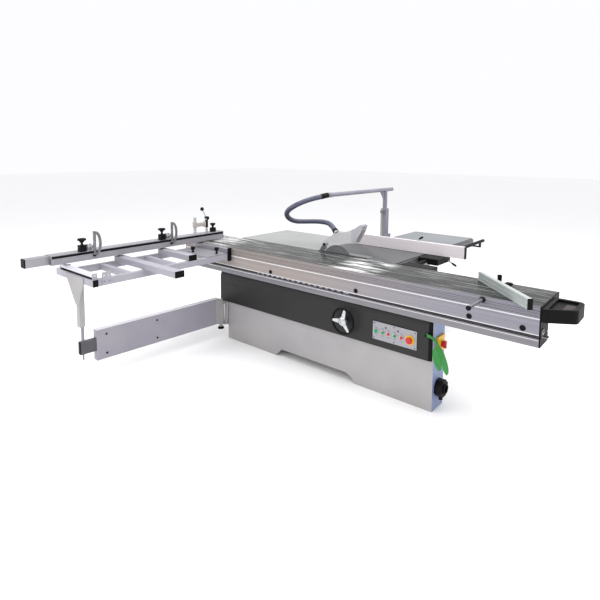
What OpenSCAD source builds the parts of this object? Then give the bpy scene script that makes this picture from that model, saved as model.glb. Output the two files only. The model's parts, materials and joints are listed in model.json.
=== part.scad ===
// Sliding table saw: a long carriage runs past a tilting saw unit, with an outrigger for the
// crosscut fence, a swing arm below it, cast and sheet tables, a rip fence and a dust hood.
// X runs along the carriage, Y across the saw away from the carriage's free side, Z is up.

/* [Carriage] */
// Length of the sliding carriage and of the rail that it runs on
slide_len = 3200; // [2800:10:3600]
// Height of every table top above the floor
top_z = 870; // [850:5:880]
// Depth of the carriage's deep box, across the saw
carriage_box = 170; // [160:2:176]
// Far side of the carriage's thin wing, next to the blade
wing_far = 405; // [380:1:408]
// Height of the carriage's underside
carriage_z = 692; // [690:1:700]
// Length of the black grip on the carriage's end
grip_len = 164; // [120:2:200]

/* [Saw unit] */
// Diameter of the main blade
blade_d = 315; // [250:5:315]
// Height of the blade above the table
blade_rise = 75; // [60:1:80]
// Place of the blade's centre along the carriage
blade_x = -100; // [-120:1:-90]
// Place of the blade's plane across the saw
blade_y = 430; // [425:1:432]
// Diameter of the scoring blade
scorer_d = 120; // [100:2:120]

/* [Cabinet] */
// Left end of the front cabinet
cab_left = -1062; // [-1100:2:-1000]
// Right end of the front cabinet
cab_right = 958; // [952:1:980]
// Front face of the front cabinet
cab_front = 60; // [56:1:66]
// Back face of the front cabinet, where the main cabinet begins
cab_back = 227; // [220:1:240]
// Height of the front cabinet
cab_top = 633; // [620:1:640]
// Thickness of the sheet metal
sheet = 4; // [2:0.5:5]
// Lower edge of the dark control band
band_z = 348; // [347:1:360]
// Upper edge of the dark control band's front face
band_top = 584; // [575:1:600]

/* [Outrigger] */
// Distance of the outrigger's outer end from the carriage
reach = 1262; // [1200:2:1300]
// Left side of the outrigger's far rail
rail_left = -1440; // [-1460:2:-1420]
// Right side of the outrigger's near rail
rail_right = -950; // [-980:2:-930]
// Height of the outrigger's rails at their top
rail_top = 820; // [816:1:822]

/* [Crosscut fence] */
// Width of the fence profile
fence_w = 100; // [90:2:104]
// Height of the fence profile
fence_h = 70; // [60:1:74]
// How far the fence's extension stands out at rest
extension_out = 168; // [120:2:300]

/* [Rip fence and dust pipe] */
// Height of the rip fence plate
rip_h = 98; // [80:2:110]
// Place of the rip fence plate's working face across the saw
rip_y = 918; // [900:2:930]
// Height of the overhead pipe's axis
pipe_z = 1350; // [1300:5:1400]
// Outer diameter of the suction hose over its ribs
hose_d = 45; // [40:1:48]
// Number of ribs along the suction hose
hose_ribs = 140; // [60:1:180]

/* [Hidden] */
$fn = 48;

// Running clearance of a turning pin in its bore, on the radius
run_gap = 0.05;
// Gap between flat faces that slide past each other
slide_gap = 0.3;
// Thickness of the plastic end caps
cap_t = 8;
half_len = slide_len / 2;
x_min = -half_len - cap_t;
x_max = half_len + cap_t + grip_len;
rail_end_y = 2060;
fence_end_y = -1370;
extension_end_y = fence_end_y - extension_out;
mid_x = (x_min + x_max) / 2;
mid_y = (extension_end_y + rail_end_y) / 2;

// Colours
cream = "#e9e7dc";
charcoal = "#3b3f45";
black = "#17181a";
alu = "#b9bdc1";
steel = "#9aa0a6";
pale = "#c9cdd0";
cast = "#55595d";

// Moves a piece from the carriage's own frame to the frame whose origin is the middle of the
// saw's footprint on the floor
module placed() {
    translate([-mid_x, -mid_y, 0]) children();
}

// Box between two corners, given as a range on each axis
module span(x, y, z) {
    translate([x[0], y[0], z[0]]) cube([x[1] - x[0], y[1] - y[0], z[1] - z[0]]);
}

// Closed hollow box with walls of thickness t
module shell(x, y, z, t) {
    difference() {
        span(x, y, z);
        span([x[0] + t, x[1] - t], [y[0] + t, y[1] - t], [z[0] + t, z[1] - t]);
    }
}

// Square tube along Y, open at both ends
module tube_y(x, y, z, t) {
    difference() {
        span(x, y, z);
        span([x[0] + t, x[1] - t], [y[0] - 1, y[1] + 1], [z[0] + t, z[1] - t]);
    }
}

// Square tube along X, open at both ends
module tube_x(x, y, z, t) {
    difference() {
        span(x, y, z);
        span([x[0] - 1, x[1] + 1], [y[0] + t, y[1] - t], [z[0] + t, z[1] - t]);
    }
}

// Round bars along each axis, from a to b
module rod_x(y, z, r, a, b) {
    translate([a, y, z]) rotate([0, 90, 0]) cylinder(r = r, h = b - a);
}

module rod_y(x, z, r, a, b) {
    translate([x, b, z]) rotate([90, 0, 0]) cylinder(r = r, h = b - a);
}

module rod_z(x, y, r, a, b) {
    translate([x, y, a]) cylinder(r = r, h = b - a);
}

// Outline in X and Z drawn out along Y from a to b
module slab_y(a, b) {
    translate([0, b, 0]) rotate([90, 0, 0]) linear_extrude(b - a) children();
}

// Outline in Y and Z drawn out along X from a to b
module slab_x(a, b) {
    translate([a, 0, 0]) rotate([90, 0, 90]) linear_extrude(b - a) children();
}

// Star knob that points up, with a hub and lobes
module star_knob(x, y, z, r, h) {
    lobes = 6;
    lobe_r = r * 0.28;
    rod_z(x, y, r - lobe_r, z, z + h);
    for (i = [0 : lobes - 1])
        translate([x, y, 0]) rotate([0, 0, i * 360 / lobes])
            rod_z(r - lobe_r, 0, lobe_r, z + 1, z + h - 1);
}

// T-shaped clamping handle that points up
module t_handle(x, y, z, h) {
    rod_z(x, y, 10, z, z + 12);
    rod_z(x, y, 6, z + 12, z + h - 10);
    rod_x(y, z + h - 9, 8, x - 22, x + 22);
}

/* Saw unit: sizes shared by its pieces */
blade_z = top_z + blade_rise - blade_d / 2;
blade_t = 3.2;
arbor_r = 15;
frame_left = -260;
frame_right = 60;
guide_left = -200;
guide_right = 0;
guide_y = 458;
guide_r = 12;
motor_z = 410;
motor_pulley_r = 28;
arbor_pulley_r = 20;
belt_t = 3;
pulley_y = [466, 476];
scorer_x = 130;
scorer_shaft_r = 6;
scorer_z = top_z + 2 - scorer_d / 2;
trunnion_in = 380;
trunnion_out = 430;

/* Main sizes shared by the tables */
table_left = -310;
table_right = 460;
table_near = 412;
table_far = 1010;
table_deep = 40;
slot_far = 520;
slot_right = 200;
table_skin = 12;
main_back = 1060;
main_left = -450;
main_right = 440;

/* Control band and its buttons */
control_z = 458;
plate_front = 44;
band_front = 48;
button_r = 11;
stem_r = 6;
button_xs = [582, 628, 677, 729];
stop_x = 793;
stop_stem_r = 9;
lamp_x = 527;
wheel_x = 270;
wheel_z = 480;
shaft_r = 12;
peg_x = 915;
peg_z = 527;

/* Outline of the front cabinet in X and Z, drawn in by t on every side */
notch_left = -459;
notch_right = 349;
notch_h = 65;
function front_outline(t) = [
    [cab_left + t, t],
    [notch_left - t, t],
    [notch_left + 62 - t, notch_h + t],
    [notch_right - 88 + t, notch_h + t],
    [notch_right - 30 + t, notch_h * 0.6 + t],
    [notch_right + t, t],
    [cab_right - t, t],
    [cab_right - t, cab_top - t],
    [cab_left + t, cab_top - t]];

module cabinet_front() {
    color(cream) placed() difference() {
        slab_y(cab_front, cab_back) polygon(front_outline(0));
        slab_y(cab_front + sheet, cab_back - sheet) polygon(front_outline(sheet));
        rod_y(wheel_x, wheel_z, shaft_r + run_gap, cab_front - 1, cab_front + sheet + 1);
    }
}

// The main cabinet is closed over its front strip, where the carriage's wing passes
module cabinet_main() {
    step_y = 415;
    step_z = 780;
    rim_z = top_z - table_deep;
    color(cream) placed() difference() {
        union() {
            span([main_left, main_right], [cab_back, main_back], [0, step_z]);
            span([main_left, main_right], [step_y, main_back], [step_z, rim_z]);
        }
        span([main_left + sheet, main_right - sheet], [cab_back + sheet, main_back - sheet],
            [sheet, step_z - sheet]);
        span([main_left + sheet, main_right - sheet], [step_y + sheet, main_back - sheet],
            [step_z - sheet - 1, rim_z + 1]);
    }
}

band_left = -1153;
band_right = 951;
band_chamfer = 25;
module band_panel() {
    crest = band_top + 29;
    color(charcoal) placed() difference() {
        intersection() {
            slab_x(band_left, band_right) polygon([[cab_front, band_z], [band_front, band_z],
                [band_front, band_top], [cab_front, crest]]);
            translate([0, 0, band_z - 1]) linear_extrude(crest - band_z + 2)
                polygon([[band_left, cab_front + 1], [band_left, band_front - 1],
                    [band_right - band_chamfer, band_front - 1], [band_right, cab_front],
                    [band_right, cab_front + 1]]);
        }
        rod_y(wheel_x, wheel_z, shaft_r + run_gap, band_front - 1, cab_front + 1);
        for (x = button_xs) rod_y(x, control_z, stem_r + run_gap, band_front - 1, cab_front + 1);
        rod_y(stop_x, control_z, stop_stem_r + run_gap, band_front - 1, cab_front + 1);
    }
    color(charcoal) placed() {
        rod_y(peg_x, peg_z, 5, 25, band_front);
        rod_y(peg_x, peg_z, 9, 21, 25);
    }
}

// The plate carries a bezel round each button, a yellow disc, a lamp and four screws
module control_plate() {
    screw_in = 12;
    plate_x = [500, 843];
    plate_z = [398, 528];
    color(steel) placed() difference() {
        union() {
            span(plate_x, [plate_front, band_front], plate_z);
            for (x = button_xs) rod_y(x, control_z, button_r + 3, plate_front - 4, plate_front);
            rod_y(stop_x, control_z, 30, plate_front - 4, plate_front);
            rod_y(lamp_x, control_z, button_r + 2, plate_front - 10, plate_front);
            for (x = [plate_x[0] + screw_in, plate_x[1] - screw_in])
                for (z = [plate_z[0] + screw_in, plate_z[1] - screw_in])
                    rod_y(x, z, 4, plate_front - 2, plate_front);
        }
        for (x = button_xs) {
            rod_y(x, control_z, button_r + slide_gap, plate_front - 5, plate_front);
            rod_y(x, control_z, stem_r + run_gap, plate_front - 5, band_front + 1);
        }
        rod_y(stop_x, control_z, stop_stem_r + run_gap, plate_front - 5, band_front + 1);
    }
}

// Push button: a cap in its bezel and a stem through the plate and the band
module push_button(x) {
    placed() {
        rod_y(x, control_z, button_r, plate_front - 9, plate_front - 4);
        rod_y(x, control_z, stem_r, plate_front - 4, band_front + 8);
    }
}

module start_button_main() {
    color("#1d9a54") push_button(button_xs[0]);
}

module stop_button_main() {
    color("#c8202a") push_button(button_xs[1]);
}

module start_button_scorer() {
    color("#1d9a54") push_button(button_xs[2]);
}

module stop_button_scorer() {
    color("#c8202a") push_button(button_xs[3]);
}

module emergency_stop() {
    color("#c8202a") placed() {
        rod_y(stop_x, control_z, 20, plate_front - 22, plate_front - 9);
        rod_y(stop_x, control_z, stop_stem_r, plate_front - 9, band_front + 7);
    }
}

// Base rail: hollow profile with a raised bright lip, two hardened rods and end caps
rail_bottom = cab_top;
rail_face = 4;
roller_room = 6;
rail_crest = carriage_z - roller_room;
module base_rail() {
    color(alu) placed() {
        difference() {
            span([-half_len, half_len], [rail_face, carriage_box], [rail_bottom, rail_crest]);
            span([-half_len - 1, half_len + 1], [rail_face + 6, carriage_box - 6],
                [rail_bottom + 6, rail_crest - 6]);
        }
        span([-half_len, half_len], [rail_face - 4, rail_face], [rail_crest - 12, rail_crest]);
        for (x = [[-half_len - cap_t, -half_len], [half_len, half_len + cap_t]])
            span(x, [rail_face, carriage_box], [rail_bottom, rail_crest]);
    }
}

// The rollers of the cage stand on the rail and carry the carriage
module roller_cage() {
    roller_len = 22;
    pitch = 35;
    count = 37;
    first = -686;
    strip_z = [rail_crest + slide_gap, carriage_z - slide_gap];
    color(black) placed() {
        span([first, first + pitch * count], [44, 52], [strip_z[0] + 1, strip_z[1] - 1]);
        for (y = [[20, 44], [52, 70]])
            for (i = [0 : count - 1])
                span([first + i * pitch, first + i * pitch + roller_len], y, strip_z);
    }
}

// Cross-section of the carriage: a deep box, a thin wing and five ridges on the free side
slot_y = 75;
wing_z = 820;
module carriage() {
    wall = 4;
    mouth = 8;
    ridge_pitch = 16;
    inner_z = carriage_z + wall;
    slot_floor = top_z - 26;
    color(alu) placed() difference() {
        union() {
            span([-half_len, half_len], [0, carriage_box], [carriage_z, top_z]);
            span([-half_len, half_len], [carriage_box, wing_far], [wing_z, top_z]);
            for (i = [0 : 4])
                span([-half_len, half_len], [-4, 0],
                    [790 + i * ridge_pitch, 796 + i * ridge_pitch]);
        }
        span([-half_len - 1, half_len + 1], [wall, carriage_box - wall],
            [inner_z, slot_floor - wall]);
        span([-half_len - 1, half_len + 1], [slot_y + 20, carriage_box - wall],
            [slot_floor - wall - 1, top_z - wall]);
        span([-half_len - 1, half_len + 1], [wall, slot_y - 20],
            [slot_floor - wall - 1, top_z - wall]);
        span([-half_len - 1, half_len + 1], [carriage_box + wall, wing_far - wall],
            [wing_z + wall, top_z - wall]);
        span([-half_len - 1, half_len + 1], [slot_y - 14, slot_y + 14],
            [slot_floor, slot_floor + 12]);
        span([-half_len - 1, half_len + 1], [slot_y - mouth, slot_y + mouth],
            [slot_floor + 11, top_z + 1]);
    }
}

module carriage_caps() {
    plug_r = 17;
    color(black) placed() {
        for (x = [[-half_len - cap_t, -half_len], [half_len, half_len + cap_t]]) {
            span(x, [0, carriage_box], [carriage_z, top_z]);
            span(x, [carriage_box, wing_far], [wing_z, top_z]);
        }
        for (x = [-465, 379, 1204, 1513]) rod_y(x, 730, plug_r, -3, 0);
        span([rail_right, rail_right + cap_t], [-45, -4], [755, 872]);
        span([-960, -952], [-450, -375], [rail_top + slide_gap, 868]);
        span([-575, -567], [-855, -780], [rail_top, 868]);
        span([rail_right, rail_right + cap_t], [-reach, -reach + 37], [770, rail_top]);
    }
}

// Rounded black grip with a hand recess, open below
module end_grip() {
    x0 = half_len + cap_t;
    corner = 40;
    grip_z = [785, 862];
    wall = 5;
    module plan(t) {
        hull() {
            translate([x0 + t, t]) square([20, 290 - 2 * t]);
            translate([x_max - corner, 70 + corner]) circle(r = corner - t, $fn = 32);
            translate([x_max - corner, 290 - corner]) circle(r = corner - t, $fn = 32);
        }
    }
    color(black) placed() difference() {
        translate([0, 0, grip_z[0]]) linear_extrude(grip_z[1] - grip_z[0]) plan(0);
        translate([0, 0, grip_z[0] - 1]) linear_extrude(grip_z[1] - grip_z[0] - wall - 17) plan(wall);
        translate([0, 0, grip_z[1] - 16]) linear_extrude(17) plan(26);
    }
}

module push_handle() {
    color(steel) placed() {
        rod_y(1282, 850, 7.5, -226, -12);
        rod_y(1282, 850, 16, -12, -4);
        rod_y(1282, 850, 11, -236, -206);
    }
}

module carriage_latch() {
    x0 = half_len + cap_t + slide_gap;
    color(pale) placed() {
        span([x0, x0 + 6], [16, 54], [carriage_z, 735]);
        span([x0 + 6, x0 + 34], [16, 54], [carriage_z, carriage_z + 6]);
        rod_x(35, 722, 5, x0 + 6, x0 + 14);
    }
}

// 45 degree stop fence on the carriage, with its foot plate, hand grip and locking knob
mitre_start = [1125, 346];
mitre_len = 630;
module mitre_fence() {
    thick = 28;
    high = 62;
    color(alu) placed() {
        translate([mitre_start[0], mitre_start[1], top_z]) rotate([0, 0, -46]) {
            difference() {
                cube([mitre_len - cap_t, thick, high]);
                translate([-1, 4, 4]) cube([mitre_len - cap_t + 2, thick - 8, high - 8]);
            }
            translate([mitre_len - cap_t, 0, 0]) cube([cap_t, thick, high]);
            translate([150, thick, 0]) cube([170, 60, 10]);
            rod_z(178, thick + 32, 14, 10, 82);
            star_knob(285, thick + 32, 10, 18, 30);
        }
    }
}

// Outrigger: two rails, cross bars, an end beam and a beam clamped to the carriage
beam_y = [-45, -4];
end_y = [-reach, -reach + 37];
module rail_tube(x) {
    tube_y(x, [end_y[1], beam_y[0]], [rail_top - 50, rail_top], 4);
}

module outrigger_near_rail() {
    x = [rail_right - 40, rail_right];
    color(cream) placed() difference() {
        union() {
            rail_tube(x);
            span([x[1], x[1] + 6], [end_y[0] + 67, end_y[0] + 132], [775, 865]);
        }
        for (y = [end_y[0] + 82, end_y[0] + 117])
            for (z = [800, 840]) rod_x(y, z, 5, x[1] - 1, x[1] + 7);
    }
}

module outrigger_far_rail() {
    color(cream) placed() rail_tube([rail_left, rail_left + 40]);
}

module outrigger_bars() {
    low_z = [rail_top - 45, rail_top];
    low_x = [rail_left + 40, rail_right - 40];
    color(cream) placed() {
        tube_x([rail_left + 40, -575], [-855, -780], [rail_top, 866], 4);
        tube_x([rail_left + 40, -960], [-450, -375], [rail_top, 866], 4);
        tube_x(low_x, [-980, -940], low_z, 4);
        tube_x(low_x, [-580, -540], low_z, 4);
    }
}

roller_x = [rail_left - 10, -960];
roller_y = end_y[0] + 19;
roller_z = 848;
roller_r = 18;
module outrigger_end_beam() {
    axle_r = 6;
    color(cream) placed() {
        tube_x([-1520, rail_right], end_y, [770, rail_top], 4);
        difference() {
            for (x = [[roller_x[0] - 6, roller_x[0] - slide_gap],
                [roller_x[1] + slide_gap, roller_x[1] + 6]]) span(x, end_y, [rail_top, 864]);
            rod_x(roller_y, roller_z, axle_r + run_gap, roller_x[0] - 7, roller_x[1] + 7);
        }
    }
}

module end_roller() {
    axle_r = 6;
    color(steel) placed() {
        difference() {
            rod_x(roller_y, roller_z, roller_r, roller_x[0], roller_x[1]);
            rod_x(roller_y, roller_z, roller_r - 3, roller_x[0] + 10, roller_x[1] - 10);
        }
        rod_x(roller_y, roller_z, axle_r, roller_x[0] - 6, roller_x[0]);
        rod_x(roller_y, roller_z, axle_r, roller_x[1], roller_x[1] + 6);
    }
}

// Beam along the carriage, the angle plate on the rails, its two clamps and the pivot seat
pivot_x = -1390;
pivot_y = -22;
pivot_r = 14;
module outrigger_clamp_beam() {
    under_fence = fence_z[0] - 828 - 3;
    color(pale) placed() {
        difference() {
            tube_x([rail_left, rail_right], beam_y, [755, 865], 5);
            rod_z(pivot_x, pivot_y, pivot_r + run_gap, 850, 866);
        }
        span([rail_left + 40, rail_right], [-260, beam_y[0]], [rail_top, 828]);
        t_handle(-1215, -215, 828, under_fence);
        t_handle(-1005, -120, 828, 56);
    }
}

king_x = -1180;
king_y = end_y[0] + 24;
module support_leg() {
    plate_y = end_y[0] - 6;
    color(cream) placed() {
        shell([king_x - 30, king_x + 15], [end_y[0], end_y[0] + 40], [430, 770], 4);
        slab_y(plate_y, end_y[0]) polygon([[-1330, 815], [-1080, 815], [-1080, 770],
            [king_x + 15, 600], [king_x - 30, 600], [-1330, 770]]);
        rod_z(king_x, king_y, 11, tube_z[1] + 2, 430);
    }
}

// Swing arm: lugs and pin on the cabinet, box beam with two guides, inner slide tube.
// It is drawn along Y and then leaned out to the king pin.
arm_x = -1115;
arm_y = 15;
arm_lean = atan2(arm_x - king_x, arm_y - king_y);
module leaned() {
    placed() translate([arm_x, arm_y, 0]) rotate([0, 0, -arm_lean])
        translate([-arm_x, -arm_y, 0]) children();
}

arm_pin_r = 14;
arm_z = [150, 330];
arm_half = 26.5;
module arm_pivot() {
    lug_t = 15;
    color(charcoal) placed() {
        for (z = [[arm_z[0] - slide_gap - lug_t, arm_z[0] - slide_gap],
            [arm_z[1] + slide_gap, arm_z[1] + slide_gap + lug_t]])
            difference() {
                union() {
                    span([arm_x - 28, cab_left], [arm_y, 120], z);
                    rod_z(arm_x, arm_y, 28, z[0], z[1]);
                }
                rod_z(arm_x, arm_y, arm_pin_r, z[0] - 1, z[1] + 1);
            }
        span([cab_left - 12, cab_left], [cab_front + 4, 140], [120, 345]);
        rod_z(arm_x, arm_y, arm_pin_r, 110, arm_z[1] + slide_gap + lug_t);
        star_knob(arm_x, arm_y, 88, 30, 22);
    }
}

beam_end = -1150;
tube_half = 20;
tube_z = [225, 320];
module swing_arm() {
    module guide(y) {
        difference() {
            span([arm_x - arm_half + 4, arm_x + arm_half - 4], y, [154, 382]);
            span([arm_x - tube_half - slide_gap, arm_x + tube_half + slide_gap],
                [y[0] - 1, y[1] + 1], [tube_z[0] - slide_gap, tube_z[1] + slide_gap]);
        }
    }
    color(cream) leaned() {
        difference() {
            union() {
                tube_y([arm_x - arm_half, arm_x + arm_half], [beam_end, -20], [150, 386], 4);
                span([arm_x - arm_half, arm_x + arm_half], [-24, -20], [150, 386]);
                span([arm_x - arm_half, arm_x + arm_half], [-20, arm_y], arm_z);
                rod_z(arm_x, arm_y, 28, arm_z[0], arm_z[1]);
                for (y = [-1130, -880]) for (z = [190, 345])
                    rod_x(y, z, 7, arm_x + arm_half, arm_x + arm_half + 5);
            }
            rod_z(arm_x, arm_y, arm_pin_r + run_gap, arm_z[0] - 1, arm_z[1] + 1);
        }
        guide([beam_end, beam_end + 57]);
        guide([-850, -800]);
    }
}

module slide_tube() {
    tube_y0 = king_y - 29;
    tube_x0 = arm_x - tube_half;
    tube_x1 = arm_x + tube_half;
    color(charcoal) leaned() {
        tube_y([tube_x0, tube_x1], [tube_y0 + cap_t, -90], tube_z, 4);
        span([tube_x0, tube_x1], [tube_y0, tube_y0 + cap_t], tube_z);
        span([tube_x0, tube_x1], [-98, -90], tube_z);
    }
}

// Crosscut fence: profile with a channel for the extension and a slot for the stops
fence_x = [-1440, -1440 + fence_w];
fence_z = [880, 880 + fence_h];
fence_far = 245;
clamp_x = fence_x[0] + 68;
clamp_col_y = 65;
clamp_seat_z = 985;
fence_wall = 3;
channel_x = [fence_x[0] + fence_wall, fence_x[0] + 68];
channel_z = [fence_z[0] + fence_wall, fence_z[1] - fence_wall];
stop_slot_x = fence_x[1] - 16;
module crosscut_fence() {
    color(alu) placed() {
        difference() {
            span(fence_x, [fence_end_y, fence_far], fence_z);
            span(channel_x, [fence_end_y - 1, fence_far - 60], channel_z);
            span([stop_slot_x - 4, stop_slot_x + 4], [fence_end_y - 1, fence_far + 1],
                [fence_z[1] - 14, fence_z[1] + 1]);
            span([stop_slot_x - 8, stop_slot_x + 8], [fence_end_y - 1, fence_far + 1],
                [fence_z[1] - 14, fence_z[1] - 6]);
            span([fence_x[1] - 26, fence_x[1] - 6], [fence_end_y - 1, fence_far - 10],
                [fence_z[0] + 6, fence_z[1] - 22]);
        }
        rod_z(pivot_x, pivot_y, 21, 865 + slide_gap, fence_z[0]);
        rod_z(pivot_x, pivot_y, pivot_r, 852, 865 + slide_gap);
        for (y = [-817, -412]) rod_z(pivot_x, y, 16, 866 + slide_gap, fence_z[0]);
        rod_z(clamp_x, clamp_col_y, 12, fence_z[1] - 1, clamp_seat_z);
        span([clamp_x - 38, clamp_x + 2], [clamp_col_y + 65, clamp_col_y + 115], [fence_z[1], 990]);
        rod_z(clamp_x - 18, clamp_col_y + 90, 10, 990, 1004);
        star_knob(clamp_x - 18, clamp_col_y + 90, 1004, 26, 30);
    }
}

module fence_extension() {
    x = [channel_x[0] + slide_gap, channel_x[1] - slide_gap];
    z = [channel_z[0] + slide_gap, channel_z[1] - slide_gap];
    color(alu) placed() {
        tube_y(x, [extension_end_y + cap_t, -500], z, 4);
        span(x, [extension_end_y, extension_end_y + cap_t], z);
    }
}

// Flip stops: a block clamped in the fence's slot and a windowed plate that flips up
stop_axis_x = stop_slot_x + 8;
stop_axis_z = 980;
stop_pin_r = 7;
function stop_start(inner) = inner ? -460 : -1160;
module stop_block(inner) {
    y0 = stop_start(inner);
    color(black) placed() difference() {
        union() {
            span([stop_axis_x - 30, stop_axis_x + 14], [y0, y0 + 50], [fence_z[1], 1000]);
            star_knob(stop_axis_x - 8, y0 + 24, 1022, 31, 30);
            rod_z(stop_axis_x - 8, y0 + 24, 9, 1000, 1022);
        }
        rod_y(stop_axis_x, stop_axis_z, stop_pin_r + run_gap, y0 + 30, y0 + 51);
    }
}

module stop_block_outer() {
    stop_block(false);
}

module stop_block_inner() {
    stop_block(true);
}

module stop_arm(inner) {
    y0 = stop_start(inner);
    plate_y = [y0 + 102, y0 + 168];
    plate_x = [fence_x[1] + 1, fence_x[1] + 9];
    color(pale) placed() {
        rod_y(stop_axis_x, stop_axis_z, stop_pin_r, y0 + 32, y0 + 102);
        rod_y(stop_axis_x, stop_axis_z, 24, y0 + 54, y0 + 92);
        span([stop_axis_x - 9, plate_x[1]], [y0 + 98, y0 + 116], [stop_axis_z - 9, stop_axis_z + 9]);
        difference() {
            span(plate_x, plate_y, [904, 1100]);
            span([plate_x[0] - 1, plate_x[1] + 1], [plate_y[0] + 14, plate_y[1] - 14], [926, 1082]);
        }
    }
}

module stop_arm_outer() {
    stop_arm(false);
}

module stop_arm_inner() {
    stop_arm(true);
}

// Eccentric clamp over the fence: column, arm that slides down it, lever with two cams
clamp_y = clamp_col_y - 135;
clamp_rod_r = 9;
lever_z = 1086;
lever_pin_r = 4;
cam_room = 11.8;
module clamp_post() {
    color(steel) placed() difference() {
        union() {
            rod_z(clamp_x, clamp_col_y, 16, clamp_seat_z + slide_gap, clamp_seat_z + 4);
            rod_z(clamp_x, clamp_col_y, clamp_rod_r, clamp_seat_z + 4, lever_z + 12);
        }
        rod_x(clamp_col_y, lever_z, lever_pin_r + run_gap, clamp_x - 10, clamp_x + 10);
    }
}

module clamp_lever() {
    ball_y = 15;
    ball_z = 1181;
    run = ball_y - clamp_col_y;
    rise = ball_z - lever_z;
    arm_in = clamp_rod_r + slide_gap;
    bar_in = 16;
    color(steel) placed() {
        rod_x(clamp_col_y, lever_z, lever_pin_r, clamp_x - 16, clamp_x + 16);
        for (x = [[clamp_x - 16, clamp_x - arm_in], [clamp_x + arm_in, clamp_x + 16]])
            rod_x(clamp_col_y + 6, lever_z + 6, 17, x[0], x[1]);
        translate([clamp_x, clamp_col_y, lever_z]) rotate([-atan2(run, rise), 0, 0])
            translate([0, 0, bar_in]) cylinder(r = 4, h = norm([run, rise]) - bar_in);
        translate([clamp_x, clamp_col_y, lever_z]) rotate([-atan2(run, rise), 0, 0])
            translate([-16, -5, bar_in]) cube([32, 10, 9]);
        translate([clamp_x, ball_y, ball_z]) sphere(r = 18);
    }
}

module clamp_arm() {
    sleeve_z = [1003, lever_z - cam_room];
    color(pale) placed() {
        difference() {
            union() {
                rod_z(clamp_x, clamp_col_y, 15, sleeve_z[0], sleeve_z[1]);
                span([clamp_x - 12, clamp_x + 12], [clamp_y, clamp_col_y - 8], [1018, 1058]);
            }
            rod_z(clamp_x, clamp_col_y, clamp_rod_r + slide_gap, sleeve_z[0] - 1, sleeve_z[1] + 1);
        }
        rod_z(clamp_x, clamp_y, 20, 1014, 1070);
        rod_z(clamp_x, clamp_y, 14, 976, 1112);
        rod_z(clamp_x, clamp_y, 17, 967, 977);
    }
}

// Cast main table: a skin with edge walls and ribs, cut back round the blade
module main_table() {
    low = top_z - table_deep;
    skin_z = top_z - table_skin;
    wall = 12;
    color(cast) placed() difference() {
        union() {
            span([table_left, table_right], [slot_far, table_far], [low, top_z]);
            span([slot_right, table_right], [table_near, slot_far + 1], [low, top_z]);
            for (x = [[table_left, table_left + 6], [slot_right - 6, slot_right + 1]])
                span(x, [blade_y + 14, slot_far + 1], [850, 862]);
        }
        for (x = [[table_left + wall, -190], [-178, -60], [-48, 70], [82, 194]])
            span(x, [slot_far + wall, table_far - wall], [low - 1, skin_z]);
        span([206, table_right - wall], [slot_far + wall, table_far - wall], [low - 1, skin_z]);
        span([slot_right + wall, table_right - wall], [table_near + wall, slot_far],
            [low - 1, skin_z]);
        span([blade_x - 34, blade_x + 34], [slot_far - 1, slot_far + wall + 1], [low - 1, low + 20]);
    }
}

module table_insert() {
    color(pale) placed() difference() {
        span([table_left, slot_right], [blade_y + 14, slot_far], [862, top_z]);
        for (x = [-290, 180]) rod_z(x, 500, 5, 861, top_z + 1);
    }
}

// Sheet metal table: a skin with deep edges, open below, with one rib
module sheet_table(x, y) {
    low = top_z - table_deep;
    mid = (x[0] + x[1]) / 2;
    color("#a9adb0") placed() difference() {
        span(x, y, [low, top_z]);
        span([x[0] + 3, mid - 2], [y[0] + 3, y[1] - 3], [low - 1, top_z - 3]);
        span([mid + 2, x[1] - 3], [y[0] + 3, y[1] - 3], [low - 1, top_z - 3]);
    }
}

module outfeed_table() {
    sheet_table([-1270, table_left], [blade_y, 1096]);
}

side_left = -170;
side_far = 1985;
module side_table() {
    sheet_table([side_left, table_right], [table_far, side_far]);
}

// Round rail of the rip fence on its brackets, and the flat bar along the tables
rail_x = 545;
rail_z = 845;
rail_r = 15;
rail_near = 560;
module rip_rail() {
    foot_z = [788, 800];
    color(black) placed() {
        rod_y(rail_x, rail_z, rail_r, rail_near, rail_end_y);
        span([table_right, table_right + 12], [450, side_far], [790, 862]);
        for (y = [600, 1090, 1580, 1960]) {
            span([table_right + 12, rail_x + 8], [y, y + 24], foot_z);
            span([rail_x - 8, rail_x + 8], [y, y + 24], [foot_z[1], rail_z - rail_r + 1]);
        }
        span([rail_x - 45, rail_x + 195], [rail_near - 120, rail_near], [790, 865]);
    }
}

// Casting that straddles the rail, with the holder that grips the fence plate behind it
holder_y = [rip_y + 30 + slide_gap, rip_y + 82];
module rip_carrier() {
    body_top = top_z + 2 - slide_gap;
    hole = rail_r + run_gap;
    lever_y = rip_y + 42;
    lever_dir = [0.89, 0, -0.46];
    color(black) placed() difference() {
        union() {
            span([rail_x - 65, rail_x + 105], [rip_y - 158, holder_y[1]], [822, body_top]);
            span([rail_x + 20, rail_x + 105], holder_y, [body_top, top_z + 84]);
            along([rail_x + 100, lever_y, 836], lever_dir, 4, 44);
            along([rail_x + 136, lever_y, 817.3], lever_dir, 9, 48);
        }
        rod_y(rail_x, rail_z, hole, rip_y - 159, holder_y[1] + 1);
        span([rail_x - hole, rail_x + hole], [rip_y - 159, holder_y[1] + 1], [821, rail_z]);
        rod_x(holder_y[1] - 30, top_z + 50, 8, rail_x + 19, rail_x + 106);
    }
}

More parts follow.
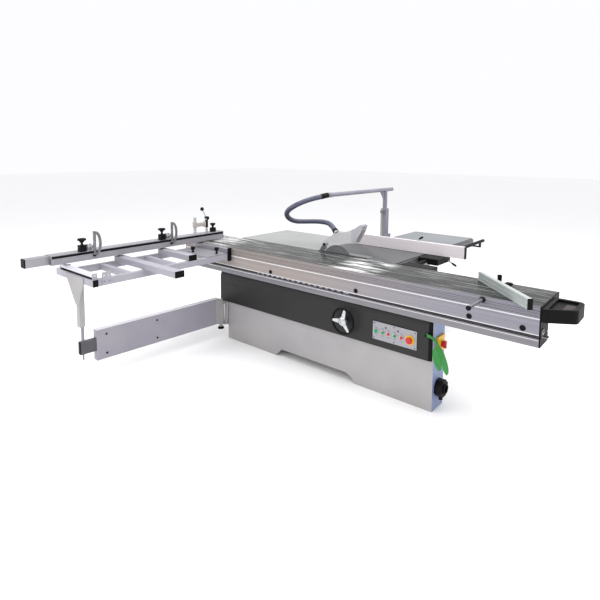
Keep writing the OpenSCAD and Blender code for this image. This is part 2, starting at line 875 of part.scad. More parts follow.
rip_x = [-430, 808];
rip_z = [top_z + 2, top_z + 2 + rip_h];
lock_x = [350, 423];
module rip_fence() {
    color(alu) placed() {
        tube_x([rip_x[0], rip_x[1] - cap_t], [rip_y, rip_y + 30], rip_z, 4);
        span([rip_x[1] - cap_t, rip_x[1]], [rip_y, rip_y + 30], rip_z);
        difference() {
            for (x = [[lock_x[0] - 8, lock_x[0] - slide_gap], [lock_x[1] + slide_gap, lock_x[1] + 8]])
                span(x, [rip_y + 30, rip_y + 56], [930, 962]);
            rod_x(rip_y + 42, 946, 6 + run_gap, lock_x[0] - 9, lock_x[1] + 9);
        }
    }
}

module rip_lock_lever() {
    color(black) placed() {
        rod_x(rip_y + 42, 946, 6, lock_x[0] - 8, lock_x[1] + 8);
        rod_x(rip_y + 42, 946, 11, lock_x[0], lock_x[1]);
        span([lock_x[0], lock_x[1]], [rip_y + 36, rip_y + 48], [946, 1013]);
    }
}

// Saw unit inside the cabinet. It tips about the line where the blade meets the table top.
module ring_sector(x, r_in, r_out, from_deg, to_deg) {
    translate([x[0], blade_y, top_z]) rotate([90, 0, 90]) rotate([0, 0, from_deg - 90])
        rotate_extrude(angle = to_deg - from_deg, $fn = 96)
            translate([r_in, 0]) square([r_out - r_in, x[1] - x[0]]);
}

module trunnions() {
    left_x = [frame_left - 70, frame_left - 50];
    right_x = [frame_right + 20 + slide_gap, frame_right + 40];
    color(cast) placed() {
        for (x = [left_x, right_x]) {
            ring_sector(x, trunnion_in, trunnion_out, -5, 70);
            span(x, [500, 560], [sheet, 462]);
            span([x[0] - 20, x[1] + 20], [480, 600], [sheet, 16]);
        }
    }
}

member_z = [340, 720];
member_y = [446, 500];
module tilt_frame() {
    left_x = [frame_left, frame_left + 25];
    right_x = [frame_right - 25, frame_right];
    quad_left = [frame_left - 50 + slide_gap, frame_left - 38];
    quad_right = [frame_right + 8, frame_right + 20];
    bridge_z = [640, 680];
    color(cast) placed() difference() {
        union() {
            for (x = [left_x, right_x]) span(x, member_y, member_z);
            span([left_x[1], right_x[0]], [480, member_y[1]], bridge_z);
            for (z = [[member_z[0], member_z[0] + 20], [member_z[1] - 20, member_z[1]]]) {
                span([left_x[1], guide_left + 15], [446, 470], z);
                span([guide_right - 15, right_x[0]], [446, 470], z);
            }
            for (x = [guide_left, guide_right])
                rod_z(x, guide_y, guide_r, member_z[0] + 20, member_z[1] - 20);
            ring_sector(quad_left, trunnion_in, trunnion_out, -5, 20);
            ring_sector(quad_right, trunnion_in, trunnion_out, -5, 20);
            span([quad_left[1], left_x[0]], [450, 490], [450, 480]);
            span([right_x[1], quad_right[0]], [450, 490], [450, 480]);
            span([-300, -262], [blade_y + 1.5, member_y[0]], [680, 718]);
            span([-285, frame_left], [member_y[0], 470], [690, 712]);
            span([frame_right, scorer_x + 30], [446, 462], [680, 710]);
            span([scorer_x - 15, scorer_x + 15], [446, 458], [710, scorer_z + 15]);
        }
        rod_y(scorer_x, scorer_z, scorer_shaft_r + run_gap, 445, 459);
    }
}

// Crescent plate behind the blade, and the bolt that joins it to the hood
bolt_x = -226;
bolt_z = 936;
module riving_knife() {
    inner_r = blade_d / 2 + 6;
    outer_r = inner_r + 44;
    lower_by = 85;
    color(steel) placed() {
        difference() {
            slab_y(blade_y - 1.4, blade_y + 1.4) intersection() {
                translate([blade_x, blade_z]) difference() {
                    circle(r = outer_r, $fn = 128);
                    hull() for (down = [0, lower_by])
                        translate([0, -down]) circle(r = inner_r, $fn = 128);
                }
                polygon([[-320, 740], [-240, 740], [-205, 961], [-320, 961]]);
            }
            rod_y(bolt_x, bolt_z, 5 + run_gap, blade_y - 2, blade_y + 2);
        }
        span([-300, -264], [blade_y - 1.4, blade_y + 1.4], [682, 756]);
    }
}

// Hollow hood above the blade, open below, with the clip on the knife and the hose spigot
hood_half = 35;
hose_exit = [-150, 470, 1048];
spigot_dir = [0.72, -0.69, -0.1];
hose_seat = 0.9;
function hood_outline(t) = [
    [-215 + t, 950 - 2 * t],
    [96 + t, 984 - 2 * t],
    [152, 1078 - t],
    [172 - t, 1136 - t],
    [150 - t, 1142 - t],
    [96 - t / 2, 1106 - t],
    [5, 1068 - t],
    [-76, 1057 - t],
    [-120, 1038 - t],
    [-215 + 2 * t, 966 - t]];
module along(from, dir, r, h) {
    flat = norm([dir[0], dir[1]]);
    translate(from) rotate([0, atan2(flat, dir[2]), atan2(dir[1], dir[0])]) cylinder(r = r, h = h);
}

module guard() {
    wall = 3;
    spigot_r = 19;
    color([0.9, 0.92, 0.92]) placed() {
        difference() {
            union() {
                slab_y(blade_y - hood_half, blade_y + hood_half) polygon(hood_outline(0));
                along(hose_exit + hose_seat * spigot_dir, spigot_dir, spigot_r, 62);
            }
            slab_y(blade_y - hood_half + wall, blade_y + hood_half - wall)
                polygon(hood_outline(wall));
            along(hose_exit - spigot_dir, spigot_dir, spigot_r - wall, 64);
            span([-260, -200], [blade_y - 1.5, blade_y + 1.5], [900, 970]);
        }
        difference() {
            for (y = [[blade_y - 12, blade_y - 1.5], [blade_y + 1.5, blade_y + 12]])
                span([-246, -205], y, [922, 958]);
            rod_y(bolt_x, bolt_z, 5 + run_gap, blade_y - 13, blade_y + 13);
        }
        rod_y(bolt_x, bolt_z, 5, blade_y - 18, blade_y + 18);
    }
}

// Arm with the arbor's bearing, guide sleeves and the motor's housing
plate_y = [452, 464];
module rise_unit() {
    motor_r = 70;
    motor_y = [500, 660];
    hub_r = 25;
    sleeve_z = [500, 560];
    rotor_r = 10;
    color(cast) placed() difference() {
        union() {
            span([blade_x - 40, blade_x + 40], plate_y, [480, blade_z]);
            span([blade_x - 70, blade_x + 70], plate_y, [335, 480]);
            rod_y(blade_x, blade_z, hub_r, 440, plate_y[1]);
            span([guide_left - 20, guide_right + 20], [440, 464], sleeve_z);
            for (x = [guide_left, guide_right])
                span([x - 20, x + 20], [440, 476], sleeve_z);
            for (dx = [-55, 55])
                for (dz = [-30, 30])
                    rod_y(blade_x + dx, motor_z + dz, 8, plate_y[1], motor_y[0]);
            rod_y(blade_x, motor_z, motor_r, motor_y[0], motor_y[1]);
        }
        rod_y(blade_x, motor_z, motor_r - 8, motor_y[0] + 10, motor_y[1] - 8);
        rod_y(blade_x, motor_z, rotor_r + run_gap, plate_y[0] - 1, motor_y[0] + 11);
        rod_y(blade_x, blade_z, arbor_r + run_gap, 439, plate_y[1] + 1);
        for (x = [guide_left, guide_right])
            rod_z(x, guide_y, guide_r + run_gap, sleeve_z[0] - 1, sleeve_z[1] + 1);
    }
}

// Belt round both pulleys, clear of them by the sliding gap
module drive_belt() {
    module loop(grow) {
        hull() {
            translate([blade_x, motor_z]) circle(r = motor_pulley_r + grow, $fn = 64);
            translate([blade_x, blade_z]) circle(r = arbor_pulley_r + grow, $fn = 64);
        }
    }
    color(black) placed() slab_y(pulley_y[0] + 0.5, pulley_y[1] - 0.5) difference() {
        loop(belt_t);
        loop(slide_gap);
    }
}

module motor_rotor() {
    rotor_r = 10;
    color(steel) placed() {
        rod_y(blade_x, motor_z, rotor_r, 450, 640);
        rod_y(blade_x, motor_z, motor_pulley_r, pulley_y[0], pulley_y[1]);
        rod_y(blade_x, motor_z, 45, 530, 630);
    }
}

// Saw blade with teeth, its flanges, arbor and pulley
module blade() {
    teeth = 36;
    body_r = blade_d / 2 - 7;
    color(steel) placed() {
        slab_y(blade_y - blade_t / 2, blade_y + blade_t / 2)
            translate([blade_x, blade_z]) {
                circle(r = body_r, $fn = 96);
                for (i = [0 : teeth - 1])
                    rotate(i * 360 / teeth) polygon([[body_r - 2, -8], [body_r + 2, -7],
                        [blade_d / 2, 3], [body_r - 2, 5]]);
            }
        rod_y(blade_x, blade_z, 30, blade_y - 10, blade_y - blade_t / 2);
        rod_y(blade_x, blade_z, 22, blade_y + blade_t / 2, 439.5);
        rod_y(blade_x, blade_z, arbor_r, 439.5, pulley_y[0]);
        rod_y(blade_x, blade_z, arbor_pulley_r, pulley_y[0], pulley_y[1]);
    }
}

module scoring_blade() {
    teeth = 20;
    body_r = scorer_d / 2 - 5;
    color(steel) placed() {
        slab_y(blade_y - blade_t / 2, blade_y + blade_t / 2)
            translate([scorer_x, scorer_z]) {
                circle(r = body_r, $fn = 96);
                for (i = [0 : teeth - 1])
                    rotate(i * 360 / teeth) polygon([[body_r - 2, -5], [body_r + 2, -5],
                        [scorer_d / 2, 2], [body_r - 2, 4]]);
            }
        rod_y(scorer_x, scorer_z, 15, blade_y - 10, blade_y - blade_t / 2);
        rod_y(scorer_x, scorer_z, 12, blade_y + blade_t / 2, 445.7);
        rod_y(scorer_x, scorer_z, scorer_shaft_r, 445.7, 462);
    }
}

module handwheel() {
    rim_r = 92;
    color(black) placed() translate([wheel_x, 0, wheel_z]) {
        rotate([90, 0, 0]) rotate_extrude($fn = 96) translate([rim_r, 0]) circle(r = 8);
        rod_y(0, 0, 24, -10, 16);
        rod_y(0, 0, shaft_r, 16, 140);
        for (a = [90, 210, 330])
            rotate([0, -a, 0]) rod_x(0, 0, 6, 20, rim_r - 2);
    }
}

// Isolator box on the cabinet's end and the power inlet below it
iso_y = 150;
iso_z = 450;
module electrical_boxes() {
    inlet_y = 140;
    inlet_z = 150;
    color("#e6b800") placed() difference() {
        union() {
            span([cab_right, cab_right + 14], [iso_y - 50, iso_y + 50], [iso_z - 55, iso_z + 55]);
            rod_x(iso_y, iso_z, 30, cab_right + 14, cab_right + 18);
            translate([cab_right, inlet_y, inlet_z]) rotate([0, 90, 0]) rotate(22.5)
                cylinder(r = 60, h = 50, $fn = 8);
            translate([cab_right + 50, inlet_y, inlet_z]) rotate([0, 90, 0])
                cylinder(r = 34, h = 12);
            rod_z(cab_right + 25, inlet_y, 14, inlet_z - 82, inlet_z - 54);
        }
        rod_x(iso_y, iso_z, 8 + run_gap, cab_right + 4, cab_right + 19);
        rod_x(inlet_y, inlet_z, 26, cab_right + 30, cab_right + 63);
    }
}

module isolator_knob() {
    knob_x = cab_right + 18 + slide_gap;
    color("#c8202a") placed() {
        rod_x(iso_y, iso_z, 8, cab_right + 5, knob_x);
        rod_x(iso_y, iso_z, 22, knob_x, knob_x + 10);
        span([knob_x + 10, knob_x + 30], [iso_y - 7, iso_y + 7], [iso_z - 24, iso_z + 24]);
    }
}

// Push stick that hangs on a peg, with a forked foot
module push_stick() {
    color("#0f8f4c") placed() {
        difference() {
            slab_y(28, 38) polygon([[peg_x - 22, peg_z + 22], [peg_x + 16, peg_z + 26],
                [peg_x + 40, peg_z - 20], [1010, 430], [1086, 318], [1080, 312], [1046, 352],
                [1032, 326], [1022, 328], [1014, 372], [970, 428], [peg_x + 4, peg_z - 36],
                [peg_x - 24, peg_z - 18]]);
            rod_y(peg_x, peg_z, 5 + run_gap, 27, 39);
        }
        difference() {
            rod_y(peg_x, peg_z, 9, 38, band_front - slide_gap);
            rod_y(peg_x, peg_z, 5 + run_gap, 37, band_front);
        }
    }
}

// Post of the overhead arm and the pipe that carries the suction air
post_x = -260;
post_y = 1465;
module lower_post() {
    half = 30;
    color("#b3bab4") placed() {
        difference() {
            span([post_x - half, post_x + half], [post_y - half, post_y + half], [780, 1160]);
            rod_z(post_x, post_y, 22.5, 779, 1161);
        }
        span([post_x + half, side_left], [post_y - 40, post_y + 40], [835, 865]);
        span([post_x + half, post_x + half + 10], [post_y - 60, post_y + 60], [800, 900]);
        rod_y(post_x, 1130, 6, post_y - half - 22, post_y - half);
        rod_y(post_x, 1130, 16, post_y - half - 40, post_y - half - 20);
    }
}

module overhead_arm() {
    post_r = 22.5;
    pipe_r = 20;
    pipe_near = 535;
    color("#c6c8d0") placed() {
        difference() {
            union() {
                rod_y(post_x, pipe_z, pipe_r, pipe_near, 1600);
                rod_z(post_x, post_y, post_r, 860, pipe_z - 8);
                slab_x(post_x - 4, post_x + 4) polygon([[post_y - 10, pipe_z - 18.5],
                    [post_y - 95, pipe_z - 18.5], [post_y - post_r, pipe_z - 110],
                    [post_y - 10, pipe_z - 110]]);
            }
            rod_y(post_x, pipe_z, pipe_r - 3, pipe_near - 1, 1601);
        }
    }
}

// Suction hose from the pipe to the hood: a smooth line through points chosen by hand
hose_route = [[-260, 535, 1350], [-260, 490, 1350], [-270, 425, 1342], [-305, 365, 1328],
    [-360, 317, 1305], [-425, 293, 1275], [-490, 292, 1242], [-555, 314, 1207],
    [-610, 357, 1170], [-645, 412, 1134], [-660, 475, 1102], [-652, 540, 1082],
    [-622, 600, 1076], [-575, 650, 1076], [-515, 682, 1078], [-450, 690, 1078],
    [-390, 678, 1075], [-335, 645, 1068], [-285, 600, 1064], [-235, 552, 1060],
    [-182, 501, 1052], [-150, 470, 1048]];
hose_last = len(hose_route) - 1;
hose_bore_d = hose_d - 9;
rib_depth = 2.5;
function route_point(i) = hose_route[max(0, min(hose_last, i))];
// Smooth curve through the route, at a place u that runs from 0 to 1
function hose_at(u) =
    let (s = u * hose_last, i = min(hose_last - 1, floor(s)), t = s - i,
        a = route_point(i - 1), b = route_point(i), c = route_point(i + 1),
        d = route_point(i + 2))
    0.5 * (2 * b + (c - a) * t + (2 * a - 5 * b + 4 * c - d) * t * t
        + (3 * b - a - 3 * c + d) * t * t * t);
function hose_dir(u) =
    let (e = 0.002, v = hose_at(min(1, u + e)) - hose_at(max(0, u - e)))
    v / norm(v);
// Ring of eight points square to the hose at u, with radius r
function hose_ring(u, r) =
    let (v = u <= 0 ? [0, -1, 0] : hose_dir(u), side = cross(v, [0, 0, 1]) / norm(cross(v, [0, 0, 1])),
        rise = cross(side, v))
    [for (k = [0 : 7]) hose_at(u) + r * (cos(k * 45) * side + sin(k * 45) * rise)];
// Closed skin through a chain of rings
module ring_tube(rings) {
    sides = 8;
    last = len(rings) - 1;
    points = [for (ring = rings) each ring];
    walls = [for (i = [0 : last - 1]) for (k = [0 : sides - 1])
        let (m = (k + 1) % sides)
        [i * sides + k, i * sides + m, (i + 1) * sides + m, (i + 1) * sides + k]];
    first_cap = [[for (k = [sides - 1 : -1 : 0]) k]];
    last_cap = [[for (k = [0 : sides - 1]) last * sides + k]];
    polyhedron(points = points, faces = concat(walls, first_cap, last_cap), convexity = 10);
}

hose_steps = 2 * hose_ribs;
hose_line = [for (i = [0 : hose_steps]) hose_at(i / hose_steps)];
hose_len = [for (i = 0, s = 0; i <= hose_steps; s = i < hose_steps
    ? s + norm(hose_line[i + 1] - hose_line[i]) : s, i = i + 1) s][hose_steps];
far_apart = floor(hose_steps / 6);
least_gap = min([for (i = [0 : 4 : hose_steps]) for (j = [i + far_apart : 4 : hose_steps])
    norm(hose_line[i] - hose_line[j]) - hose_d]);
echo(hose_length = hose_len, hose_least_gap = least_gap);
module suction_hose() {
    plain = 6;
    function skin_r(i) = i < plain || i > hose_steps - plain ? hose_d / 2 - rib_depth
        : (i % 2 == 0 ? hose_d / 2 : hose_d / 2 - rib_depth);
    bore_steps = 60;
    color("#5f7891") placed() difference() {
        ring_tube([for (i = [0 : hose_steps]) hose_ring(i / hose_steps, skin_r(i))]);
        ring_tube([for (i = [-1 : bore_steps + 1])
            i < 0 ? hose_ring_out(0, -2) : i > bore_steps ? hose_ring_out(1, 2)
                : hose_ring(i / bore_steps, hose_bore_d / 2)]);
    }
}

// Bore ring pushed out past an end of the hose by a few millimetres
function hose_ring_out(u, push) =
    let (v = u <= 0 ? [0, -1, 0] : hose_dir(u))
    [for (p = hose_ring(u, hose_bore_d / 2)) p + push * v];

cabinet_front();
cabinet_main();
band_panel();
control_plate();
base_rail();
main_table();
table_insert();
outfeed_table();
side_table();
rip_rail();
electrical_boxes();
lower_post();
overhead_arm();
suction_hose();
arm_pivot();
trunnions();
tilt_frame();
riving_knife();
guard();
rise_unit();
drive_belt();
motor_rotor();
blade();
scoring_blade();
handwheel();
start_button_main();
stop_button_main();
start_button_scorer();
stop_button_scorer();
emergency_stop();
isolator_knob();
push_stick();
carriage();
carriage_caps();
end_grip();
push_handle();
outrigger_near_rail();
outrigger_far_rail();
outrigger_bars();
outrigger_end_beam();
outrigger_clamp_beam();
support_leg();
roller_cage();
carriage_latch();
mitre_fence();
end_roller();
crosscut_fence();
fence_extension();
stop_block_outer();
stop_block_inner();
stop_arm_outer();
stop_arm_inner();
clamp_post();
clamp_lever();
clamp_arm();
swing_arm();
slide_tube();
rip_carrier();
rip_fence();
rip_lock_lever();
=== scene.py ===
# %% [markdown]
# A sliding table saw is a cabinet with a saw inside, cast and sheet tables on top, and a long
# aluminium carriage that runs past the blade. The solids come from the CAD model. This lesson
# dresses them: it rounds their edges, models the small fittings, and mixes a finish for each.

# %% Load the frame
import json
import math

import bmesh
import bpy
from mathutils import Matrix, Vector

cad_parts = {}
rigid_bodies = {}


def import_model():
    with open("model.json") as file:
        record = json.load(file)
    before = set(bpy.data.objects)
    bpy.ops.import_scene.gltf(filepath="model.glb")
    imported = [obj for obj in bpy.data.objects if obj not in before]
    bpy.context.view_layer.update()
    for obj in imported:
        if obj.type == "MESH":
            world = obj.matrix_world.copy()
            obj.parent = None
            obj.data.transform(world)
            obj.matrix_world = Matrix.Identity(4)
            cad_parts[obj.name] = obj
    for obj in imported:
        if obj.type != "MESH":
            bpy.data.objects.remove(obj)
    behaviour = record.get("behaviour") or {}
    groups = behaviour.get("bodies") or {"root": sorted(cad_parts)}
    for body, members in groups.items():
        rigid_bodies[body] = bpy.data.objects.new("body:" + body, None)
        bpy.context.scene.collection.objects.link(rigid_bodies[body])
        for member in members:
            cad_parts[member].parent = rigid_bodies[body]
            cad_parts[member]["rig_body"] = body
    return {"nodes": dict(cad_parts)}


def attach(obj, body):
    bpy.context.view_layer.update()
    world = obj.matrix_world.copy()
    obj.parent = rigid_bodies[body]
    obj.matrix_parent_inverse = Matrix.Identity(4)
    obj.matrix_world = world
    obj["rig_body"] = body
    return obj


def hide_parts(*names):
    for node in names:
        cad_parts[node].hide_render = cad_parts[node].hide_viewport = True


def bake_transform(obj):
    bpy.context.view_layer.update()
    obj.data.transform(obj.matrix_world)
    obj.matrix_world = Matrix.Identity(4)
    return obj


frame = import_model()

scene = bpy.context.scene
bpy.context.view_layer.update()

# %% [markdown]
# The drawing of the saw counts in millimetres, from the carriage's free side. Blender counts in
# metres, from the middle of the footprint. All sizes below are in the drawing's millimetres, and
# one matrix carries a finished mesh over, so a size reads as it would on a workshop drawing.

# %% Millimetres of the drawing, metres of the scene
MIDDLE = Vector((0.082, 0.261, 0.0))
TO_SCENE = Matrix.Translation(-MIDDLE) @ Matrix.Scale(0.001, 4)
TO_DRAWING = TO_SCENE.inverted()
NODE_BODY = {node: obj["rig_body"] for node, obj in frame["nodes"].items()}


# %% [markdown]
# The photograph looks at the saw from its right front corner, from about eye height and slightly
# down. The camera takes that place. The lens is shifted a little, because the picture is a crop
# that does not have the lens's axis in its middle.

# %% Camera
def shown(name, data):
    """Object of the scene that shows the data."""
    made = bpy.data.objects.new(name, data)
    scene.collection.objects.link(made)
    return made


camera = shown("camera", bpy.data.cameras.new("camera"))
camera.matrix_world = (
    Matrix.Translation((2.1842, -3.0999, 1.6954))
    @ Matrix.Rotation(math.radians(39.8), 4, "Z")
    @ Matrix.Rotation(math.radians(84.2), 4, "X")
    @ Matrix.Rotation(math.radians(0.5), 4, "Z"))
camera.data.lens = 29.07
camera.data.sensor_width = 36
camera.data.shift_x = -0.00867
camera.data.shift_y = -0.1598
camera.data.clip_end = 200
scene.camera = camera
print("camera at", [round(v, 3) for v in camera.location])

# %% [markdown]
# A catalogue photograph of a machine has broad soft light and hardly any shadow. Three large area
# lights and a near-white world give that: the key stands on the left, so the long front of the
# saw is evenly lit and the cabinet's right end stays darker.

# %% Floor and light
world = bpy.data.worlds.new("studio")
world.use_nodes = True
sky = world.node_tree.nodes["Background"].inputs
sky["Color"].default_value = (0.985, 0.985, 1.0, 1)
sky["Strength"].default_value = 1.0
scene.world = world
scene.view_settings.view_transform = "Standard"


def soft_light(name, place, aim, size, power):
    lamp = bpy.data.lights.new(name, "AREA")
    lamp.shape = "RECTANGLE"
    lamp.size, lamp.size_y = size
    lamp.energy = power
    holder = shown(name, lamp)
    holder.location = place
    holder.rotation_euler = (Vector(aim) - Vector(place)).to_track_quat("-Z", "Y").to_euler()


soft_light("key", (-3.5, -5.5, 4.2), (0, 0, 0.5), (5, 3), 130)
soft_light("top", (0.5, 0.5, 5.0), (0, 0, 0), (5, 5), 220)
soft_light("rim", (4.5, 3.5, 3.5), (0, 0, 0.6), (3, 3), 25)
floor_mesh = bmesh.new()
bmesh.ops.create_grid(floor_mesh, x_segments=2, y_segments=2, size=40)
floor_data = bpy.data.meshes.new("floor")
floor_mesh.to_mesh(floor_data)
floor_mesh.free()
floor = shown("floor", floor_data)

# %% [markdown]
# A finish is arithmetic on patterns: how pale, how rough, how raised each point is. In Blender
# each sum is a node, which gets long. This small class stands for a node's output and lets the
# sums be written as Python sums. Each one still adds its Math node.

# %% Sums of sockets
def sum_node(operation, swapped=False):
    """Method of Wire that adds a Math node for itself and another value."""
    def method(self, other):
        pair = (other, self) if swapped else (self, other)
        return self.paint.node("ShaderNodeMath", {"operation": operation}, dict(enumerate(pair)))
    return method


class Wire:
    """The output of a node in a material, for use in sums."""

    def __init__(self, paint, socket):
        self.paint = paint
        self.socket = socket

    __add__, __radd__ = sum_node("ADD"), sum_node("ADD", True)
    __sub__, __rsub__ = sum_node("SUBTRACT"), sum_node("SUBTRACT", True)
    __mul__, __rmul__ = sum_node("MULTIPLY"), sum_node("MULTIPLY", True)
    __pow__ = sum_node("POWER")
    __gt__, __lt__ = sum_node("GREATER_THAN"), sum_node("LESS_THAN")

    def sine(self):
        return self.paint.node("ShaderNodeMath", {"operation": "SINE"}, {0: self})

    def size(self):
        return self.paint.node("ShaderNodeMath", {"operation": "ABSOLUTE"}, {0: self})

    def clear(self, low, high):
        """0 below low, 1 above high, and an even slope between them."""
        return self.paint.node("ShaderNodeMapRange", {"clamp": True},
            {"Value": self, "From Min": low, "From Max": high})


print("sums ready")

# %% [markdown]
# A Paint is one material in the making. It knows where a point of the piece is, in the drawing's
# millimetres, so a pattern can follow the saw: streaks along an extrusion, black on an end cap.
# Every pattern comes from node(), which takes the settings first and then the sockets.

# %% Paints
class Paint:
    """One material: patterns in the drawing's millimetres, joined to a Principled shader."""

    def __init__(self, name, **fixed):
        self.material = bpy.data.materials.new(name)
        self.material.use_nodes = True
        self.tree = self.material.node_tree
        self.shader = self.tree.nodes["Principled BSDF"]
        for socket, value in fixed.items():
            self.shader.inputs[socket.replace("_", " ")].default_value = value
        self.place = self.node("ShaderNodeTexCoord", {}, {}, "Object")
        self.x, self.y, self.z = [self.node("ShaderNodeSeparateXYZ", {}, {"Vector": self.place},
            axis) * 1000.0 + shift * 1000.0 for axis, shift in zip("XYZ", MIDDLE)]

    def node(self, kind, settings, values, output=0):
        made = self.tree.nodes.new(kind)
        for name, value in settings.items():
            setattr(made, name, value)
        for name, value in values.items():
            self.feed(made.inputs[name], value)
        return Wire(self, made.outputs[output])

    def feed(self, socket, value):
        if isinstance(value, Wire):
            self.tree.links.new(value.socket, socket)
        else:
            socket.default_value = value

    def noise(self, grain, stretch=(1, 1, 1), detail=2.0, shift=0.0):
        """Cloudy pattern from 0 to 1 whose patches are grain millimetres across, times stretch."""
        moved = self.node("ShaderNodeMapping", {}, {"Vector": self.place,
            "Location": (shift, shift, shift), "Scale": [1000.0 / (grain * s) for s in stretch]})
        return self.node("ShaderNodeTexNoise", {},
            {"Vector": moved, "Scale": 1.0, "Detail": detail})

    def cells(self, grain):
        """Distance to the nearest of many scattered points, grain millimetres apart."""
        moved = self.node("ShaderNodeMapping", {},
            {"Vector": self.place, "Scale": [1000.0 / grain] * 3})
        return self.node("ShaderNodeTexVoronoi", {}, {"Vector": moved, "Scale": 1.0})

    def mix(self, low, high, factor):
        """Colour that goes from low to high."""
        return self.node("ShaderNodeMix", {"data_type": "RGBA"},
            {0: factor, 6: tint(low), 7: tint(high)}, 2)

    def set(self, socket, value):
        self.feed(self.shader.inputs[socket], value)
        return self

    def raised(self, height, depth):
        """The surface stands up by depth millimetres where height is 1."""
        return self.set("Normal", self.node("ShaderNodeBump", {},
            {"Height": height, "Distance": depth / 1000.0, "Strength": 1.0}, "Normal"))

    def inside(self, x=None, y=None, z=None):
        """1 within the given ranges of the drawing, 0 outside."""
        mask = None
        for along, limits in ((self.x, x), (self.y, y), (self.z, z)):
            if limits:
                part = (along > limits[0]) * (along < limits[1])
                mask = part if mask is None else mask * part
        return mask


def tint(colour):
    """Colour written as #rrggbb, as linear light. A wire stays as it is."""
    if isinstance(colour, Wire):
        return colour
    parts = [int(colour[i:i + 2], 16) / 255 for i in (1, 3, 5)]
    return [p / 12.92 if p < 0.04045 else ((p + 0.055) / 1.055) ** 2.4 for p in parts] + [1.0]


print("paint class ready")

# %% [markdown]
# The floor is a plain pale sweep of vinyl. It only catches the shadow, so it gets one very faint
# cloud of tone and nothing else.

# %% Floor finish
vinyl = Paint("floor_vinyl", Roughness=0.75)
vinyl.set("Base Color", vinyl.mix("#f6f6f6", "#fbfbfb", vinyl.noise(900)))
floor.data.materials.append(vinyl.material)
print("floor", vinyl.material.name)

# %% [markdown]
# Sheet steel parts are powder coated. The coat melts into a skin with a fine orange peel, a few
# specks, and a broad unevenness of tone that shows on a large panel. Handling leaves scuffs, which
# are darker and rougher, and some coats turn darker and browner in patches towards the bottom.

# %% Powder coat
def powder_coat(name, pale, deep, peel=0.05, gloss=0.36, low_darkening=0.0):
    paint = Paint(name, Specular_IOR_Level=0.45)
    cloud = paint.noise(350, detail=3)
    speck = paint.cells(9) < 0.07
    scuff = paint.noise(60, (4, 1, 1), 6, 3.1).clear(0.62, 0.8)
    low = 1 - paint.z.clear(0, 160)
    colour = paint.mix(deep, pale, cloud.clear(0.3, 0.7))
    colour = paint.mix(colour, deep, speck * 0.35 + scuff * 0.3)
    # Darker, browner patches in the lowest 160 mm.
    if low_darkening:
        colour = paint.mix(colour, "#8d8a84", low * paint.noise(45, detail=5) * low_darkening)
    paint.set("Base Color", colour)
    paint.set("Roughness", gloss + 0.1 * paint.noise(25) + 0.2 * scuff)
    return paint.raised(paint.noise(2.4) * 0.8 + paint.noise(0.9) * 0.2, peel).material


CREAM = powder_coat("cream_powder", "#a8a5a5", "#9c9a9c", low_darkening=0.3)
TUBE = powder_coat("tube_powder", "#a6a4ac", "#9b9aa4", 0.04, 0.3)
END_BLUE = powder_coat("cabinet_end_powder", "#7f8db4", "#7583ac", low_darkening=0.3)
# A paler copy of the arm's paint, for painted light on the swing arm's top face.
LIT_TOP = powder_coat("lit_top_powder", "#d9d8dc", "#cfced4", 0.04, 0.3)
SIDE = powder_coat("side_table_powder", "#797d80", "#6d7175", 0.04, 0.34)
ARM_CREAM = powder_coat("arm_powder", "#99969f", "#8e8b96", low_darkening=0.2)
CHARCOAL = powder_coat("charcoal_powder", "#1d1d1d", "#181818", 0.07, 0.5)
GREY = powder_coat("slide_powder", "#4e4e52", "#444448", 0.06, 0.4)
SHEET = powder_coat("table_powder", "#959795", "#888b89", 0.04, 0.34)
PIPE = powder_coat("pipe_powder", "#8b8993", "#7c7a88", 0.03, 0.2)
POST = powder_coat("post_powder", "#a5a39d", "#989690", 0.05, 0.4)
print("powder coats ready")

# %% [markdown]
# An aluminium extrusion is pressed through a die, which drags fine straight lines along its whole
# length. Anodising makes them satin. The lines are noise that is hardly stretched across and very
# long along one axis, in both the sheen and a slight bump.

# %% Extruded aluminium
def extrusion(name, pale, deep, along, metal=0.55, sheen=0.34):
    paint = Paint(name)
    long_way = [180 if axis == along else 1 for axis in "xyz"]
    drag = paint.noise(1.6, long_way, 3)
    band = paint.noise(22, long_way, 2, 5.0)
    handled = paint.noise(90, detail=4, shift=2.0).clear(0.55, 0.75)
    colour = paint.mix(deep, pale, drag * 0.55 + band * 0.45)
    paint.set("Base Color", paint.mix(colour, deep, handled * 0.25))
    paint.set("Metallic", metal)
    paint.set("Roughness", sheen + 0.14 * drag + 0.08 * handled)
    return paint.raised(drag, 0.03)


ALU_X = extrusion("satin_aluminium_x", "#aaa8ad", "#918f96", "x").material
ALU_Y = extrusion("satin_aluminium_y", "#b0aeb3", "#8c8a91", "y").material
BRIGHT = extrusion("bright_aluminium", "#f0e9ec", "#e2dbde", "x", 0.3, 0.35).material
ROLLER = extrusion("roller_tube", "#e3e1ea", "#cfcdd8", "x", 0.2, 0.3).material
MITRE = extrusion("mitre_aluminium", "#bcc3c1", "#aab1af", "x", 0.35, 0.3).material
print("extrusions ready")

# %% [markdown]
# The carriage is the same profile, but its top is dark anodised and waxed. Its finish depends on
# height: above the last millimetre it is dark and smooth, with pale patches and streaks that are
# painted reflections. Below that the side is pale and satin, with painted shade as dark stripes in
# each groove above 806 mm, two painted highlights along its edges, and painted shade in a slot and
# along its lowest part.

# %% Carriage finish
TOP_FACE_Z = 869.4


